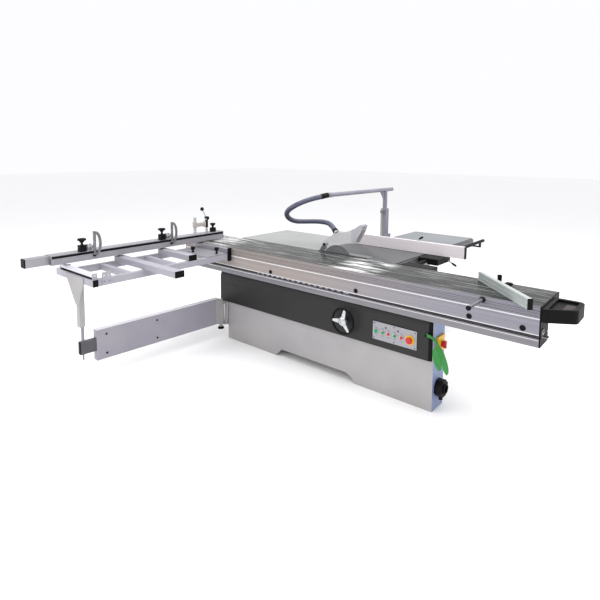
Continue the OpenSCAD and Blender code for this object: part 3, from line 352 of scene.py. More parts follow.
def carriage_finish():
    deck = Paint("carriage_profile", IOR=1.12)
    drag = deck.noise(1.4, (220, 1, 1), 3)
    band = deck.noise(14, (120, 1, 1), 2, 4.0)
    streaks = drag * 0.35 + band * 0.65
    warm, cool = deck.mix("#8f8784", "#aca39f", streaks), deck.mix("#7e7d85", "#9f9ea8", streaks)
    side = deck.mix(warm, cool, deck.x.clear(-200, 1100))
    # Dark stripes above 806 mm are painted shade, one stripe in each fine groove of the side.
    groove_shade = (deck.z * 0.62).sine().clear(0.2, 0.9) * (deck.z > 806)
    side = deck.mix(side, "#5c585d", groove_shade * 0.6)
    # Pale bands at 795-802 mm and 704-709 mm are painted highlights on the side's edges.
    edge_highlights = deck.inside(z=(795, 802)) + deck.inside(z=(704, 709))
    side = deck.mix(side, "#f3f1f4", edge_highlights * 0.8)
    # A band at 802-805 mm and everything below 704 mm get painted shade.
    side = deck.mix(side, "#57535a", (deck.inside(z=(802, 805)) + (deck.z < 704)) * 0.7)
    dark = deck.mix("#161716", "#3b3d3b", band.clear(0.3, 0.7) * 0.6 + drag * 0.4)
    # Pale patches and streaks on the dark top are painted reflections, placed along two stretches
    # of it.
    glint_cloud = deck.noise(26, (9, 1, 1), 4, 8.0).clear(0.46, 0.6)
    glint_places = deck.x.clear(90, 240) - deck.x.clear(420, 560)
    glint_places = glint_places + (1 - deck.x.clear(-1130, -980)) * 0.8
    stray_glints = deck.noise(9, (40, 1, 1), 3, 6.0).clear(0.56, 0.66) * 0.35
    dark = deck.mix(dark, "#e4e6e4", (glint_cloud * glint_places).clear(0, 1) * 0.85 + stray_glints)
    top = deck.z > TOP_FACE_Z
    deck.set("Base Color", deck.mix(side, dark, top))
    deck.set("Metallic", 0.12 - 0.12 * top)
    deck.set("Roughness", (1 - top) * (0.34 + 0.12 * drag) + top * (0.12 + 0.16 * band))
    return deck.raised(drag, 0.03).material


DECK = carriage_finish()
print("carriage finish", len(DECK.node_tree.nodes), "nodes")

# %% [markdown]
# Cast iron tops are ground flat. Grinding leaves short fine scratches in one direction and a dull
# blue-grey shine, while the ribs below keep the grainy skin of the sand mould. Height decides
# again which of the two a point gets.

# %% Cast iron
def cast_iron(name, ground_z):
    paint = Paint(name, Metallic=0.25)
    ground = paint.z > ground_z
    scratch = paint.noise(1.2, (40, 1, 1), 4)
    sand = paint.noise(3.5, detail=6)
    stain = paint.noise(140, detail=4, shift=1.7)
    top = paint.mix("#3f4143", "#585a5b", scratch * 0.6 + stain * 0.4)
    skin = paint.mix("#4a4d51", "#5e6266", sand * 0.7 + stain * 0.3)
    paint.set("Base Color", paint.mix(skin, top, ground))
    paint.set("Roughness", 0.6 - ground * 0.32 + 0.12 * scratch)
    return paint.raised(sand * (1 - ground) * 5 + scratch * ground * 0.4, 0.1).material


NOWHERE_Z = 1e6
CAST_TOP = cast_iron("ground_cast_iron", TOP_FACE_Z)
CAST = cast_iron("sand_cast_iron", NOWHERE_Z)
print("cast iron ready")

# %% [markdown]
# Machined steel shows the tool as fine lines. The saw blades are ground in rings round their own
# centres, and their teeth are brazed carbide, darker and duller than the plate.

# %% Steel
def ground_steel(name, deep, pale, grain=(1, 1, 30), sheen=0.25):
    paint = Paint(name, Metallic=0.85)
    line = paint.noise(0.8, grain, 3)
    cloud = paint.noise(70, detail=3, shift=6.0)
    paint.set("Base Color", paint.mix(deep, pale, line * 0.6 + cloud * 0.4))
    paint.set("Roughness", sheen + 0.15 * line + 0.08 * cloud)
    return paint.raised(line, 0.02).material


TOOTH = 9


def blade_steel(name, centre, radius):
    """Plate of a saw blade with its centre in X and Z; the teeth are the outermost ring."""
    paint = Paint(name, Metallic=0.85)
    out = ((paint.x - centre[0]) ** 2.0 + (paint.z - centre[1]) ** 2.0) ** 0.5
    rings = (out * 4.0 + paint.noise(40) * 5.0).sine() * 0.5 + 0.5
    tooth = out > radius - TOOTH
    plate_tone = paint.mix("#8a8b8d", "#acadaf", rings * 0.5 + paint.noise(50, detail=4) * 0.5)
    paint.set("Base Color", paint.mix(plate_tone, "#6e6c6a", tooth))
    paint.set("Roughness", 0.2 + 0.12 * rings + 0.2 * tooth)
    return paint.raised(rings, 0.015).material


STEEL = ground_steel("turned_steel", "#747579", "#a2a3a7")
PLATE = ground_steel("brushed_plate", "#77757a", "#959398", (60, 1, 1), 0.3)
# Chrome of the flip stops: its colour swings from near black to pale in broad blotches, which are
# painted reflections.
REFLECTION_CHROME = ground_steel("polished_chrome_painted_reflections", "#38383b", "#c4c4c8", (24, 24, 60), 0.15)
CHROME = ground_steel("chromed_steel", "#a9aaad", "#d9dadc", (1, 1, 4), 0.1)
BLADE = blade_steel("saw_plate", (-100, 787.5), 157.5)
SCORER = blade_steel("scorer_plate", (130, 812), 60)
print("steels ready")

# %% [markdown]
# Knobs, caps and grips are moulded plastic. Black parts come from an etched mould that leaves a
# fine pebble grain; buttons come from a polished one and are glossy. Both have a faint mottling
# from the way the melt flows.

# %% Moulded plastic
def moulded(name, pale, deep, pebble=0.08, gloss=0.42, grain=1.3, shine=0.45):
    paint = Paint(name, Specular_IOR_Level=shine)
    mottle = paint.noise(30, detail=3)
    grit = paint.noise(grain, detail=2)
    rubbed = paint.noise(18, detail=5, shift=4.0).clear(0.6, 0.8)
    paint.set("Base Color", paint.mix(deep, pale, mottle * 0.7 + rubbed * 0.3))
    paint.set("Roughness", gloss + 0.12 * grit - 0.1 * rubbed)
    return paint.raised(grit, pebble).material


BLACK = moulded("black_plastic", "#0c0c0d", "#060607", 0.06, 0.5, shine=0.15)
BROWN = moulded("grip_inlay", "#3d3230", "#2b2322", gloss=0.55)
RED = moulded("red_plastic", "#cf2a30", "#b81c22", 0.02, 0.2)
GREEN = moulded("green_plastic", "#1fa357", "#158345", 0.02, 0.25)
STICK = moulded("stick_green", "#2f9130", "#1d7433", 0.05, 0.3)
YELLOW = moulded("yellow_plastic", "#f0c21a", "#dcae0e", 0.04, 0.35)
IVORY = moulded("ivory_casting", "#bdb8b6", "#a09a98", 0.05, 0.3, 3.0)
RUBBER = moulded("belt_rubber", "#2a2a2b", "#1d1d1e", 0.15, 0.6)
print("plastics ready")

# %% [markdown]
# The guard is a clear-grey polycarbonate hood: the blade should be guessed through it. A low alpha
# does that and exports well. Towards the front tip it has a field of small air holes, which are
# dark dots on a square grid.

# %% Hood plastic
HOLE_STEP = 7.0
hood = Paint("hood_polycarbonate", Specular_IOR_Level=0.6)
hood_cloud = hood.noise(60, detail=3)
dot_x = (hood.x * (math.pi / HOLE_STEP)).sine()
dot_z = ((hood.z - hood.x * 0.55) * (math.pi / HOLE_STEP)).sine()
hood_dots = (dot_x * dot_z).size().clear(0.45, 0.6) * (hood.x > 60)
hood_tone = hood.mix("#cfd0d2", "#dddcdf", hood_cloud)
hood.set("Base Color", hood.mix(hood_tone, "#83808f", hood_dots))
hood.set("Alpha", 0.62 + 0.25 * hood_dots + 0.08 * hood_cloud)
hood.set("Roughness", 0.12 + 0.1 * hood_cloud)
HOOD = hood.raised(hood_cloud + hood_dots * 0.5, 0.2).material
print("hood", len(hood.tree.nodes), "nodes")

# %% [markdown]
# One CAD node can hold pieces of two finishes, such as a rail with its black end caps. A paint
# that knows the drawing can switch: inside a box of the drawing it is one finish, outside the
# other. Two shaders and a Mix Shader do this, and the mask is the box.

# %% Two finishes on one node
def split_paint(name, outer, inner, *boxes):
    """Material that is outer, but inner within the boxes of the drawing, each (x, y, z) ranges."""
    paint = Paint(name)
    mask = paint.inside(*boxes[0])
    for box in boxes[1:]:
        mask = mask + paint.inside(*box)
    join = paint.tree.nodes.new("ShaderNodeMixShader")
    paint.feed(join.inputs[0], mask.clear(0, 1))
    for socket, source in zip(join.inputs[1:], (outer, inner)):
        paint.tree.links.new(copy_nodes(source.node_tree, paint.tree), socket)
    paint.tree.links.new(join.outputs[0], paint.tree.nodes["Material Output"].inputs["Surface"])
    paint.tree.nodes.remove(paint.shader)
    return paint.material


def position(sockets, wanted):
    return [s.identifier for s in sockets].index(wanted.identifier)


def copy_nodes(source, target):
    """Copies a finish's nodes into another tree and returns its shader's output."""
    twins = {}
    for node in source.nodes:
        if node.type == "OUTPUT_MATERIAL":
            continue
        twin = target.nodes.new(node.bl_idname)
        for setting in ("operation", "data_type", "clamp"):
            if hasattr(node, setting):
                setattr(twin, setting, getattr(node, setting))
        for old, new in zip(node.inputs, twin.inputs):
            if hasattr(old, "default_value") and not old.is_linked:
                new.default_value = old.default_value
        twins[node.name] = twin
    for link in source.links:
        if link.to_node.name in twins:
            start, end = link.from_node, link.to_node
            target.links.new(
                twins[start.name].outputs[position(start.outputs, link.from_socket)],
                twins[end.name].inputs[position(end.inputs, link.to_socket)])
    return twins["Principled BSDF"].outputs[0]


ANY = None
rail = extrusion("rail_profile", "#9c9a9f", "#7b797f", "x")
# Two pale bands along the rail's lip are painted highlights.
rail_highlights = rail.inside(z=(672, 677)) + rail.inside(z=(686, 692))
rail_tone = rail.mix("#908e92", "#6d6b71", rail.noise(9, (120, 1, 1), 2, 3.0))
rail.set("Base Color", rail.mix(rail_tone, "#f0eef2", rail_highlights * 0.8))
RAIL = split_paint("rail_with_caps", rail.material, BLACK,
    ((-1700, -1600.2), ANY, ANY), ((1600.2, 1700), ANY, ANY))
FENCE = split_paint("fence_with_cap", ALU_Y, BLACK, (ANY, (238, 260), ANY))
TUBE_RAIL = split_paint("slide_with_cap", GREY, BLACK, (ANY, (-1300, -1262), ANY))
TOWER = split_paint("post_and_strip", PIPE, POST, ((-300, -269), ANY, ANY))
SLIDER = split_paint("extension_with_cap", ALU_Y, BLACK, (ANY, (-1560, -1530), ANY))
RIP = split_paint("rip_fence_with_cap", BRIGHT, BLACK, ((800, 820), ANY, ANY))
BOXES = split_paint("electrical_boxes", YELLOW, BLACK, (ANY, ANY, (40, 300)))
CABINET = split_paint("cabinet_and_end", CREAM, END_BLUE, ((957.2, 1100), ANY, ANY))
# Black on the band's right end is painted shade of its bevelled end.
BAND = split_paint("band_with_painted_shade_end", CHARCOAL, BLACK, ((925.5, 1100), ANY, ANY))
# The swing arm's top face gets the paler copy: painted light from above.
ARM = split_paint("arm_with_painted_lit_top", ARM_CREAM, LIT_TOP, (ANY, ANY, (383.4, 400)))
LEG = split_paint("leg_with_pin", CREAM, PIPE, (ANY, ANY, (300, 429.5)))
GUIDE_RAIL = split_paint("rip_rail_black", BLACK, PLATE, ((459, 472.5), ANY, ANY))
print("split finishes ready")

# %% [markdown]
# Every piece is drawn in a bmesh in the drawing's millimetres. The last step is always the same:
# carry it into the scene, let it ride on its body, and let broad faces keep flat normals while
# rounded edges shade smoothly. A Weighted Normal modifier does that last part.


def finish_piece(name, bm, paint, body, replaces=(), sharp=50, weighted=True):
    bmesh.ops.transform(bm, matrix=TO_SCENE, verts=bm.verts)
    open_edges = sum(1 for e in bm.edges if len(e.link_faces) != 2)
    mesh = bpy.data.meshes.new(name)
    bm.to_mesh(mesh)
    bm.free()
    mesh.materials.append(paint)
    mesh.shade_smooth()
    mesh.set_sharp_from_angle(angle=math.radians(sharp))
    piece = shown(name, mesh)
    if weighted:
        piece.modifiers.new("even_normals", "WEIGHTED_NORMAL").keep_sharp = True
    if body:
        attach(piece, body)
    if replaces:
        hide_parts(*replaces)
    print(name, len(mesh.polygons), "faces", f"{open_edges} open edges" if open_edges else "")
    return piece


# %% [markdown]
# The suction hose is one length of ribbed flexible hose, 1.43 m from end to end, and the
# photograph shows all of it: out of the overhead pipe, down in a wide loop and round into the
# hood. A ribbed tube is spun straight first, and then each of its points is carried onto the
# route, so the ribs stay square to the line however it bends.

# %% Route of the hose
HOSE_ROUTE = [Vector(spot) for spot in ((-260, 535, 1350), (-260, 490, 1350), (-270, 425, 1342),
    (-305, 365, 1328), (-360, 317, 1305), (-425, 293, 1275), (-490, 292, 1242), (-555, 314, 1207),
    (-610, 357, 1170), (-645, 412, 1134), (-660, 475, 1102), (-652, 540, 1082),
    (-622, 600, 1076), (-575, 650, 1076), (-515, 682, 1078), (-450, 690, 1078),
    (-390, 678, 1075), (-335, 645, 1068), (-285, 600, 1064), (-235, 552, 1060),
    (-182, 501, 1052), (-150, 470, 1048))]
HOSE_D = 45.0
HOSE_RIBS, RIB_DEPTH = 140, 2.5
WALL, BORE_STEPS, LINE_STEPS = 2, 90, 160


def curve_at(points, i, t):
    """Point at a share t of the stretch after point i, on a smooth curve through them all."""
    a, b, c, d = [points[max(0, min(len(points) - 1, i + k))] for k in (-1, 0, 1, 2)]
    return 0.5 * (2 * b + (c - a) * t + (2 * a - 5 * b + 4 * c - d) * t ** 2
        + (3 * b - a - 3 * c + d) * t ** 3)


def hose_at(u):
    """Point of the hose at a share u of its route."""
    last = len(HOSE_ROUTE) - 1
    i = min(last - 1, int(u * last))
    return curve_at(HOSE_ROUTE, i, u * last - i)


def along_hose(bm):
    """Bends a tube that stands on Z, where 1 is the whole route, along the hose."""
    near = 0.002
    for vert in bm.verts:
        x, y, u = vert.co
        ahead = (hose_at(min(1, u + near)) - hose_at(max(0, u - near))).normalized()
        side = ahead.cross((0, 0, 1)).normalized()
        vert.co = hose_at(u) + side * x + side.cross(ahead) * y
    bmesh.ops.recalc_face_normals(bm, faces=bm.faces)
    return bm


def spun(profile, steps, closed=False):
    """Solid turned round Z from a profile of (radius, height) pairs."""
    bm = bmesh.new()
    line = [bm.verts.new((radius, 0, height)) for radius, height in profile]
    pairs = list(zip(line, line[1:])) + ([(line[-1], line[0])] if closed else [])
    rim = [bm.edges.new(pair) for pair in pairs]
    bmesh.ops.spin(bm, geom=line + rim, cent=(0, 0, 0), axis=(0, 0, 1), angle=math.tau,
        steps=steps, use_merge=True, use_duplicate=False)
    bmesh.ops.remove_doubles(bm, verts=bm.verts, dist=0.001)
    bmesh.ops.recalc_face_normals(bm, faces=bm.faces)
    return bm


def ribbed_profile():
    """One rib is a round crest and a narrow valley; both ends are plain under their cuffs."""
    crest, valley = HOSE_D / 2, HOSE_D / 2 - RIB_DEPTH
    outer = [(valley, 0.0)]
    for rib in range(2, HOSE_RIBS - 2):
        for part, rise in ((0.15, 0.0), (0.35, 0.8), (0.55, 1.0), (0.75, 0.8), (0.95, 0.0)):
            outer.append((valley + rise * (crest - valley), (rib + part) / HOSE_RIBS))
    outer.append((valley, 1.0))
    return outer + [(valley - WALL, 1 - i / BORE_STEPS) for i in range(BORE_STEPS + 1)]


hose_plastic = Paint("hose_plastic", Specular_IOR_Level=0.5)
hose_cloud = hose_plastic.noise(80, detail=3)
hose_dust = hose_plastic.noise(6, detail=4)
hose_plastic.set("Base Color",
    hose_plastic.mix("#3a3c50", "#5d6074", hose_cloud * 0.6 + hose_dust * 0.4))
hose_plastic.set("Roughness", 0.16 + 0.12 * hose_dust)
hose_plastic.raised(hose_dust, 0.1)
hose = finish_piece("hose", along_hose(spun(ribbed_profile(), 24, True)), hose_plastic.material,
    None, ["suction_hose"], sharp=80, weighted=False)
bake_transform(hose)

# %% [markdown]
# The big pieces keep the CAD model's shape. A copy of each solid's mesh is merged, its flat faces
# are joined, and its edges are rounded: rolled sheet, cast iron and moulded plastic never have a
# knife edge, and the rounded edge is what catches the light. Fittings that are modelled further
# down are shaved off the copy first, and the hole is closed.

# %% Dressing a solid
def drawn_copy(node):
    bm = bmesh.new()
    bm.from_mesh(frame["nodes"][node].data)
    bmesh.ops.transform(bm, matrix=TO_DRAWING, verts=bm.verts)
    bmesh.ops.remove_doubles(bm, verts=bm.verts, dist=0.01)
    return bm


def within(point, spans):
    return all(low < value < high for value, (low, high) in zip(point, spans))


def shave(bm, box):
    """Takes away what lies in a box of the drawing and closes the holes."""
    gone = [v for v in bm.verts if within(v.co, box)]
    bmesh.ops.delete(bm, geom=gone, context="VERTS")
    rim = [e for e in bm.edges if e.is_boundary]
    if rim:
        bmesh.ops.holes_fill(bm, edges=rim, sides=0)


def round_edges(bm, width, segments, sharp=30):
    edges = [e for e in bm.edges
        if len(e.link_faces) == 2 and e.calc_face_angle(0) > math.radians(sharp)]
    bmesh.ops.bevel(bm, geom=edges, offset=width, offset_type="OFFSET", segments=segments,
        profile=0.5, affect="EDGES", clamp_overlap=True, material=-1)


def dress(node, width, paint, shaved=None, segments=2, lean=None):
    """Piece with the solid's own shape; a box to shave follows a leaning solid's own axes."""
    bm = drawn_copy(node)
    if lean:
        bmesh.ops.transform(bm, matrix=lean.inverted(), verts=bm.verts)
    if shaved:
        shave(bm, shaved)
    if lean:
        bmesh.ops.transform(bm, matrix=lean, verts=bm.verts)
    bmesh.ops.dissolve_limit(bm, angle_limit=math.radians(0.5), verts=bm.verts, edges=bm.edges)
    if width:
        round_edges(bm, width, segments)
    finish_piece(node + "_dressed", bm, paint, NODE_BODY[node], [node])


print("dressing tools ready")

# %% [markdown]
# Cabinets, tables and the carriage come first. Sheet steel is bent over a radius of about its own
# thickness, so a few millimetres of rounding are right; extrusions are sharper.

# %% Cabinets, tables, carriage
dress("cabinet_front", 5, CABINET, segments=3)
dress("cabinet_main", 5, CABINET, segments=3)
dress("band_panel", 2, BAND, ((890, 940), (15, 47.5), (500, 550)))
for node, width, paint in (("base_rail", 1.2, RAIL), ("carriage", 1, DECK),
        ("carriage_caps", 2, BLACK), ("carriage_latch", 1.2, PLATE), ("main_table", 2, CAST_TOP),
        ("table_insert", 0.6, PLATE), ("outfeed_table", 2, SHEET), ("side_table", 2, SIDE),
        ("rip_rail", 2, GUIDE_RAIL)):
    dress(node, width, paint)
dress("lower_post", 3, TOWER, ((-280, -240), (1390, 1434.5), (1100, 1160)))
dress("overhead_arm", 1, PIPE)
dress("electrical_boxes", 3, BOXES)

# %% [markdown]
# The outrigger is a welded frame of square tubes. Its clamp beam carries T-handles, which are
# shaved off here because they get their own shape below. The swing arm turns on a pivot at the
# cabinet and leans a little, so that its tube ends under the leg's king pin.

# %% Outrigger, swing arm and leg
ARM_X, ARM_Y = -1115, 15
KING_X, KING_Y = -1180, -1238
ARM_LEAN = (Matrix.Translation((ARM_X, ARM_Y, 0))
    @ Matrix.Rotation(-math.atan2(ARM_X - KING_X, ARM_Y - KING_Y), 4, "Z")
    @ Matrix.Translation((-ARM_X, -ARM_Y, 0)))
for node in ("outrigger_near_rail", "outrigger_far_rail", "outrigger_bars"):
    dress(node, 2.5, TUBE)
dress("outrigger_end_beam", 2, TUBE)
dress("outrigger_clamp_beam", 1.5, ALU_X, ((-1300, -960), (-250, -60), (828.5, 900)))
dress("support_leg", 2.5, LEG)
dress("end_roller", 1.5, ROLLER)
dress("swing_arm", 3, ARM, ((-1088.4, -1080), (-1160, -850), (170, 370)), lean=ARM_LEAN)
dress("slide_tube", 3, TUBE_RAIL)
dress("arm_pivot", 2, CREAM, ((-1150, -1080), (-20, 50), (80, 109.8)))

# %% [markdown]
# The crosscut fence is an extrusion with a telescopic extension inside it. Its stops, clamp and
# the rip fence are small mechanisms in black paint and bright metal.

# %% Fences, stops and clamp
STOPS = (("outer", -1160), ("inner", -460))
dress("crosscut_fence", 1, FENCE, ((-1420, -1330), (40, 200), (951, 1040)))
dress("fence_extension", 1, SLIDER)
for side, _ in STOPS:
    dress("stop_block_" + side, 4, BLACK, ((-1410, -1300), (-1200, -380), (1000.5, 1060)))
dress("rip_carrier", 2, BLACK, ((651, 820), (900, 1000), (700, 870)))
dress("rip_fence", 1.2, RIP)

# %% [markdown]
# The saw unit hides in the cabinet, but its blade and riving knife show above the table, and all
# of it is seen when the saw is opened up. Castings keep their sand skin, turned parts shine.

# %% Saw unit
for node in ("trunnions", "tilt_frame", "rise_unit"):
    dress(node, 2, CAST)
dress("motor_rotor", 1, STEEL)
dress("drive_belt", 0, RUBBER)
dress("blade", 0.3, BLADE, segments=1)
dress("scoring_blade", 0.3, SCORER, segments=1)
dress("riving_knife", 0.4, PLATE, segments=1)
dress("roller_cage", 0, BLACK)

# %% [markdown]
# The fittings are built from three kinds of blank, as in a workshop: a block with broken edges, a
# turned piece spun round Z, and a plate drawn out of an outline. Each maker returns the blank and
# its place, which is a matrix from stand(). joined() makes one mesh of several blanks, so that one
# fitting is one piece, and fit() finishes it.

# %% Blanks for the fittings
WAYS = {"x": (1, 0, 0), "y": (0, 1, 0), "z": (0, 0, 1), "-y": (0, -1, 0), "-z": (0, 0, -1)}


def stand(centre, way="z", turn=0.0):
    """Place of a blank that was drawn upright at the origin and now points that way."""
    aim = Vector(WAYS[way] if isinstance(way, str) else way).normalized()
    upright = Vector((0, 0, 1)).rotation_difference(aim).to_matrix().to_4x4()
    return Matrix.Translation(centre) @ upright @ Matrix.Rotation(math.radians(turn), 4, "Z")


def block(x, y, z, width=1.0, segments=2):
    bm = bmesh.new()
    size = [b - a for a, b in (x, y, z)]
    middle = [(a + b) / 2 for a, b in (x, y, z)]
    bmesh.ops.create_cube(bm, size=1,
        matrix=Matrix.Translation(middle) @ Matrix.Diagonal(size + [1]))
    round_edges(bm, width, segments)
    return bm, Matrix()


def turned(profile, centre=(0, 0, 0), way="z", steps=32, closed=False):
    """Turned from (radius, height) pairs, which start and end on the axis unless closed."""
    return spun(profile, steps, closed), stand(centre, way)


def ring(outer, inner, low, high, centre, way="-y", soft=0.8):
    """Flat ring with broken edges."""
    return turned([(inner, low), (outer - soft, low), (outer, low + soft), (outer, high - soft),
        (outer - soft, high), (inner + soft, high), (inner, high - soft)], centre, way, 48, True)


def drawn_out(outline, depth, width, centre=(0, 0, 0), way="z", turn=0, segments=2, rim=0):
    """Plate of that depth from an outline in X and Y, with a window inside a rim if any."""
    bm = bmesh.new()
    face = bm.faces.new([bm.verts.new((x, y, 0)) for x, y in outline])
    if rim:
        face.normal_update()
        bmesh.ops.inset_region(bm, faces=[face], thickness=rim, use_boundary=True,
            use_even_offset=True)
        bmesh.ops.delete(bm, geom=[face], context="FACES")
    made = bmesh.ops.extrude_face_region(bm, geom=bm.faces[:])
    bmesh.ops.translate(bm, vec=(0, 0, depth),
        verts=[g for g in made["geom"] if isinstance(g, bmesh.types.BMVert)])
    bmesh.ops.recalc_face_normals(bm, faces=bm.faces)
    round_edges(bm, width, segments, sharp=40)
    return bm, stand(centre, way, turn)


def rod_between(start, end, radius):
    """Round bar with 1 mm of broken edge at both ends."""
    way = Vector(end) - Vector(start)
    return turned([(0, 0), (radius - 1, 0), (radius, 1), (radius, way.length - 1),
        (radius - 1, way.length), (0, way.length)], start, way, 20)


def lobed(radius, depth, lobes, points=72):
    """Outline of a knob with rounded lobes."""
    turns = [math.tau * i / points for i in range(points)]
    reach = [radius - depth + depth * abs(math.cos(lobes * a / 2)) ** 0.6 for a in turns]
    return [(r * math.cos(a), r * math.sin(a)) for r, a in zip(reach, turns)]


def joined(parts):
    """One mesh out of several blanks, each moved to its place."""
    whole = bmesh.new()
    spare = bpy.data.meshes.new("spare")
    for blank, place in parts:
        bmesh.ops.transform(blank, matrix=place, verts=blank.verts)
        blank.to_mesh(spare)
        blank.free()
        whole.from_mesh(spare)
    bpy.data.meshes.remove(spare)
    return whole


def leaned(lean, *parts):
    """The same blanks, with their places carried by one more matrix."""
    return [(blank, lean @ place) for blank, place in parts]


def fit(name, body, paint, parts, replaces=()):
    finish_piece(name, joined(parts), paint, body, replaces)


print("blanks ready")

# %% [markdown]
# Star knobs and T-handles are moulded on a steel stud. The head is drawn out of a lobed outline
# with well rounded edges, the hub below it is turned, and the stud disappears in what it clamps.

# %% Knobs and T-handles
def star_knob(radius, height, stem_radius, stem, centre, way="z"):
    crown = stem + height * 0.9
    return joined([
        drawn_out(lobed(radius, radius * 0.2, 6), height * 0.55, height * 0.16,
            (0, 0, stem + height * 0.4), segments=3),
        turned([(0, stem), (radius * 0.5, stem), (radius * 0.62, stem + height * 0.42),
            (0, stem + height * 0.42)]),
        turned([(0, crown), (radius * 0.42, crown), (radius * 0.36, stem + height * 0.99),
            (0, stem + height)]),
        rod_between((0, 0, 0), (0, 0, stem + 1), stem_radius)]), stand(centre, way)


def t_handle(height, centre, turn):
    return joined([
        turned([(0, 0), (11, 0), (11.5, 2), (11.5, 8), (9, 11), (8.5, height - 30),
            (0, height - 30)]),
        drawn_out(lobed(20, 3, 4, 64), 26, 5, (0, 0, height - 27), segments=3)]), stand(
            centre, "z", turn)


fit("beam_handles", "carriage", BLACK,
    [t_handle(49, (-1215, -215, 828), 12), t_handle(56, (-1005, -120, 828), -12)])
fit("arm_knob", "frame", BLACK, [star_knob(30, 22, 8, 0.5, (ARM_X, ARM_Y, 110), "-z")])
fit("post_knob", "frame", PLATE, [star_knob(16, 20, 6, 20, (-260, 1435, 1130), "-y")])
fit("fence_knob", "crosscut_fence", BLACK, [star_knob(26, 30, 10, 14, (-1390, 155, 990)),
    block((-1410, -1370), (130, 180), (950, 990), 4)])
fit("clamp_seat", "crosscut_fence", CHROME,
    [turned([(0, 950), (12, 950), (12, 984), (11, 985), (0, 985)], (-1372, 65, 0))])
for side, start in STOPS:
    fit("stop_knob_" + side, "stop_" + side, BLACK,
        [star_knob(31, 30, 9, 22, (-1356, start + 24, 1000))])

# %% [markdown]
# The flip stops are cast arms with a D-shaped window: straight at the back, bowed in front. The
# outline is computed, a window is inset, and the ring is drawn out. A knurled adjuster sits
# between the block and the arm: a lobed outline with many fine lobes.

# %% Flip stops
def bowed_outline(height, width, steps=16):
    """A D that stands upright: straight at x = 0 and bowed out to x = width."""
    turns = [math.pi * i / steps for i in range(steps + 1)]
    bow = [(width * math.sin(a) ** 0.7, height * (1 - math.cos(a)) / 2) for a in turns]
    return [(0.0, height)] + bow[::-1][1:-1] + [(0.0, 0.0)]


ROD_X, ROD_Z = -1348, 980
for side, start in STOPS:
    dee, _ = drawn_out(bowed_outline(196, 66), 10, 1.2, rim=21)
    upright = (Matrix.Translation((-1329, start + 102, 904)) @ Matrix.Rotation(math.pi / 2, 4, "Z")
        @ Matrix.Rotation(math.pi / 2, 4, "X") @ Matrix.Translation((0, 0, -10)))
    fit("stop_window_" + side, "stop_arm_" + side, REFLECTION_CHROME, [(dee, upright),
        rod_between((ROD_X, start + 32, ROD_Z), (ROD_X, start + 112, ROD_Z), 7),
        turned([(0, 0), (15, 0), (16, 1), (16, 3), (0, 3)], (ROD_X, start + 51, ROD_Z), "y"),
        block((-1357, -1331), (start + 98, start + 116), (970, 990), 3)], ["stop_arm_" + side])
    knurl = lobed(24, 1.6, 24, 96)
    fit("stop_adjuster_" + side, "stop_arm_" + side, STEEL, [
        drawn_out(knurl, 16, 1.2, (ROD_X, start + 54, ROD_Z), "y"),
        drawn_out(knurl, 14, 1.2, (ROD_X, start + 78, ROD_Z), "y"),
        turned([(0, 0), (20, 0), (20, 9), (0, 9)], (ROD_X, start + 69.5, ROD_Z), "y")])
    fit("stop_tip_" + side, "stop_arm_" + side, BLACK,
        [block((-1340, -1327), (start + 101, start + 118), (902, 916), 2)])

# %% [markdown]
# The control plate is brushed steel, screwed into a recess of the dark band. Each button sits in a
# bezel ring; the emergency stop stands on a yellow disc so that it is found without looking. The
# marks over the buttons are plain bars, as the real plate's words and pictures are left off.

# %% Control plate and buttons
BUTTONS = {"start_button_main": (582, GREEN), "stop_button_main": (628, RED),
    "start_button_scorer": (677, GREEN), "stop_button_scorer": (729, RED)}
PLATE_Y, CONTROL_Z = 44, 458
STOP_X, LAMP_X = 793, 527
fit("control_sheet", "frame", ALU_X,
    [block((500, 843), (PLATE_Y, 48), (398, 528), 1.2)], ["control_plate"])
# Black strips in the gap at the plate's left and top edges are painted shade in the recess.
fit("control_recess_shade", "frame", BLACK, [block((494, 500.5), (45.5, 48), (394, 532), 0.8),
    block((494, 848), (45.5, 48), (527.5, 532), 0.8)])
fit("bezels", "frame", CHROME,
    [ring(16, 11.3, 0, 4, (x, PLATE_Y, CONTROL_Z)) for x, _ in BUTTONS.values()]
    + [ring(19, 15, 0, 5, (LAMP_X, PLATE_Y, CONTROL_Z))])
fit("stop_disc", "frame", YELLOW, [ring(34, 9.2, 0, 4, (STOP_X, PLATE_Y, CONTROL_Z))])
fit("lamp_lens", "frame", GREEN, [turned([(0, 0), (15, 0), (15, 5), (12.5, 9), (7, 10.5), (0, 11)],
    (LAMP_X, PLATE_Y, CONTROL_Z), "-y")])
fit("plate_screws", "frame", BLACK, [
    turned([(0, 0), (4.2, 0), (4, 1.6), (2, 2.2), (0, 2.2)], (x, PLATE_Y, z), "-y", 16)
    for x in (512, 831, 671) for z in (410, 516)])
marks = [(x, x + 18, z, z + 2.6) for x in (518, 573, 619, 668, 720) for z in (434, 484)]
marks += [(x, x + 12, 492, 504) for x in (600, 697)]
fit("plate_marks", "frame", CHARCOAL,
    [block((a, b), (43.4, 44.2), (c, d), 0.2, 1) for a, b, c, d in marks])
for name, (x, paint) in BUTTONS.items():
    fit(name + "_cap", NODE_BODY[name], paint, [turned([(0, -16), (6, -16), (6, 0), (10.4, 0),
        (10.8, 0.8), (10.8, 3.8), (9.8, 5), (7.5, 5), (3, 4.3), (0, 4.2)],
        (x, 40, CONTROL_Z), "-y")], [name])
fit("emergency_mushroom", NODE_BODY["emergency_stop"], RED, [turned([(0, -20), (9, -20), (9, -1),
    (15, 0), (22.5, 2.5), (24, 5), (24, 8.5), (22, 11.2), (16, 12.8), (0, 13)],
    (STOP_X, 35, CONTROL_Z), "-y")], ["emergency_stop"])
print("buttons", len(BUTTONS) + 1)

# %% [markdown]
# The handwheel is a black moulded rim, and a bright casting of three tapering spokes and a domed
# hub. The rim is a circle spun round, the spokes are drawn out of a tapered outline.

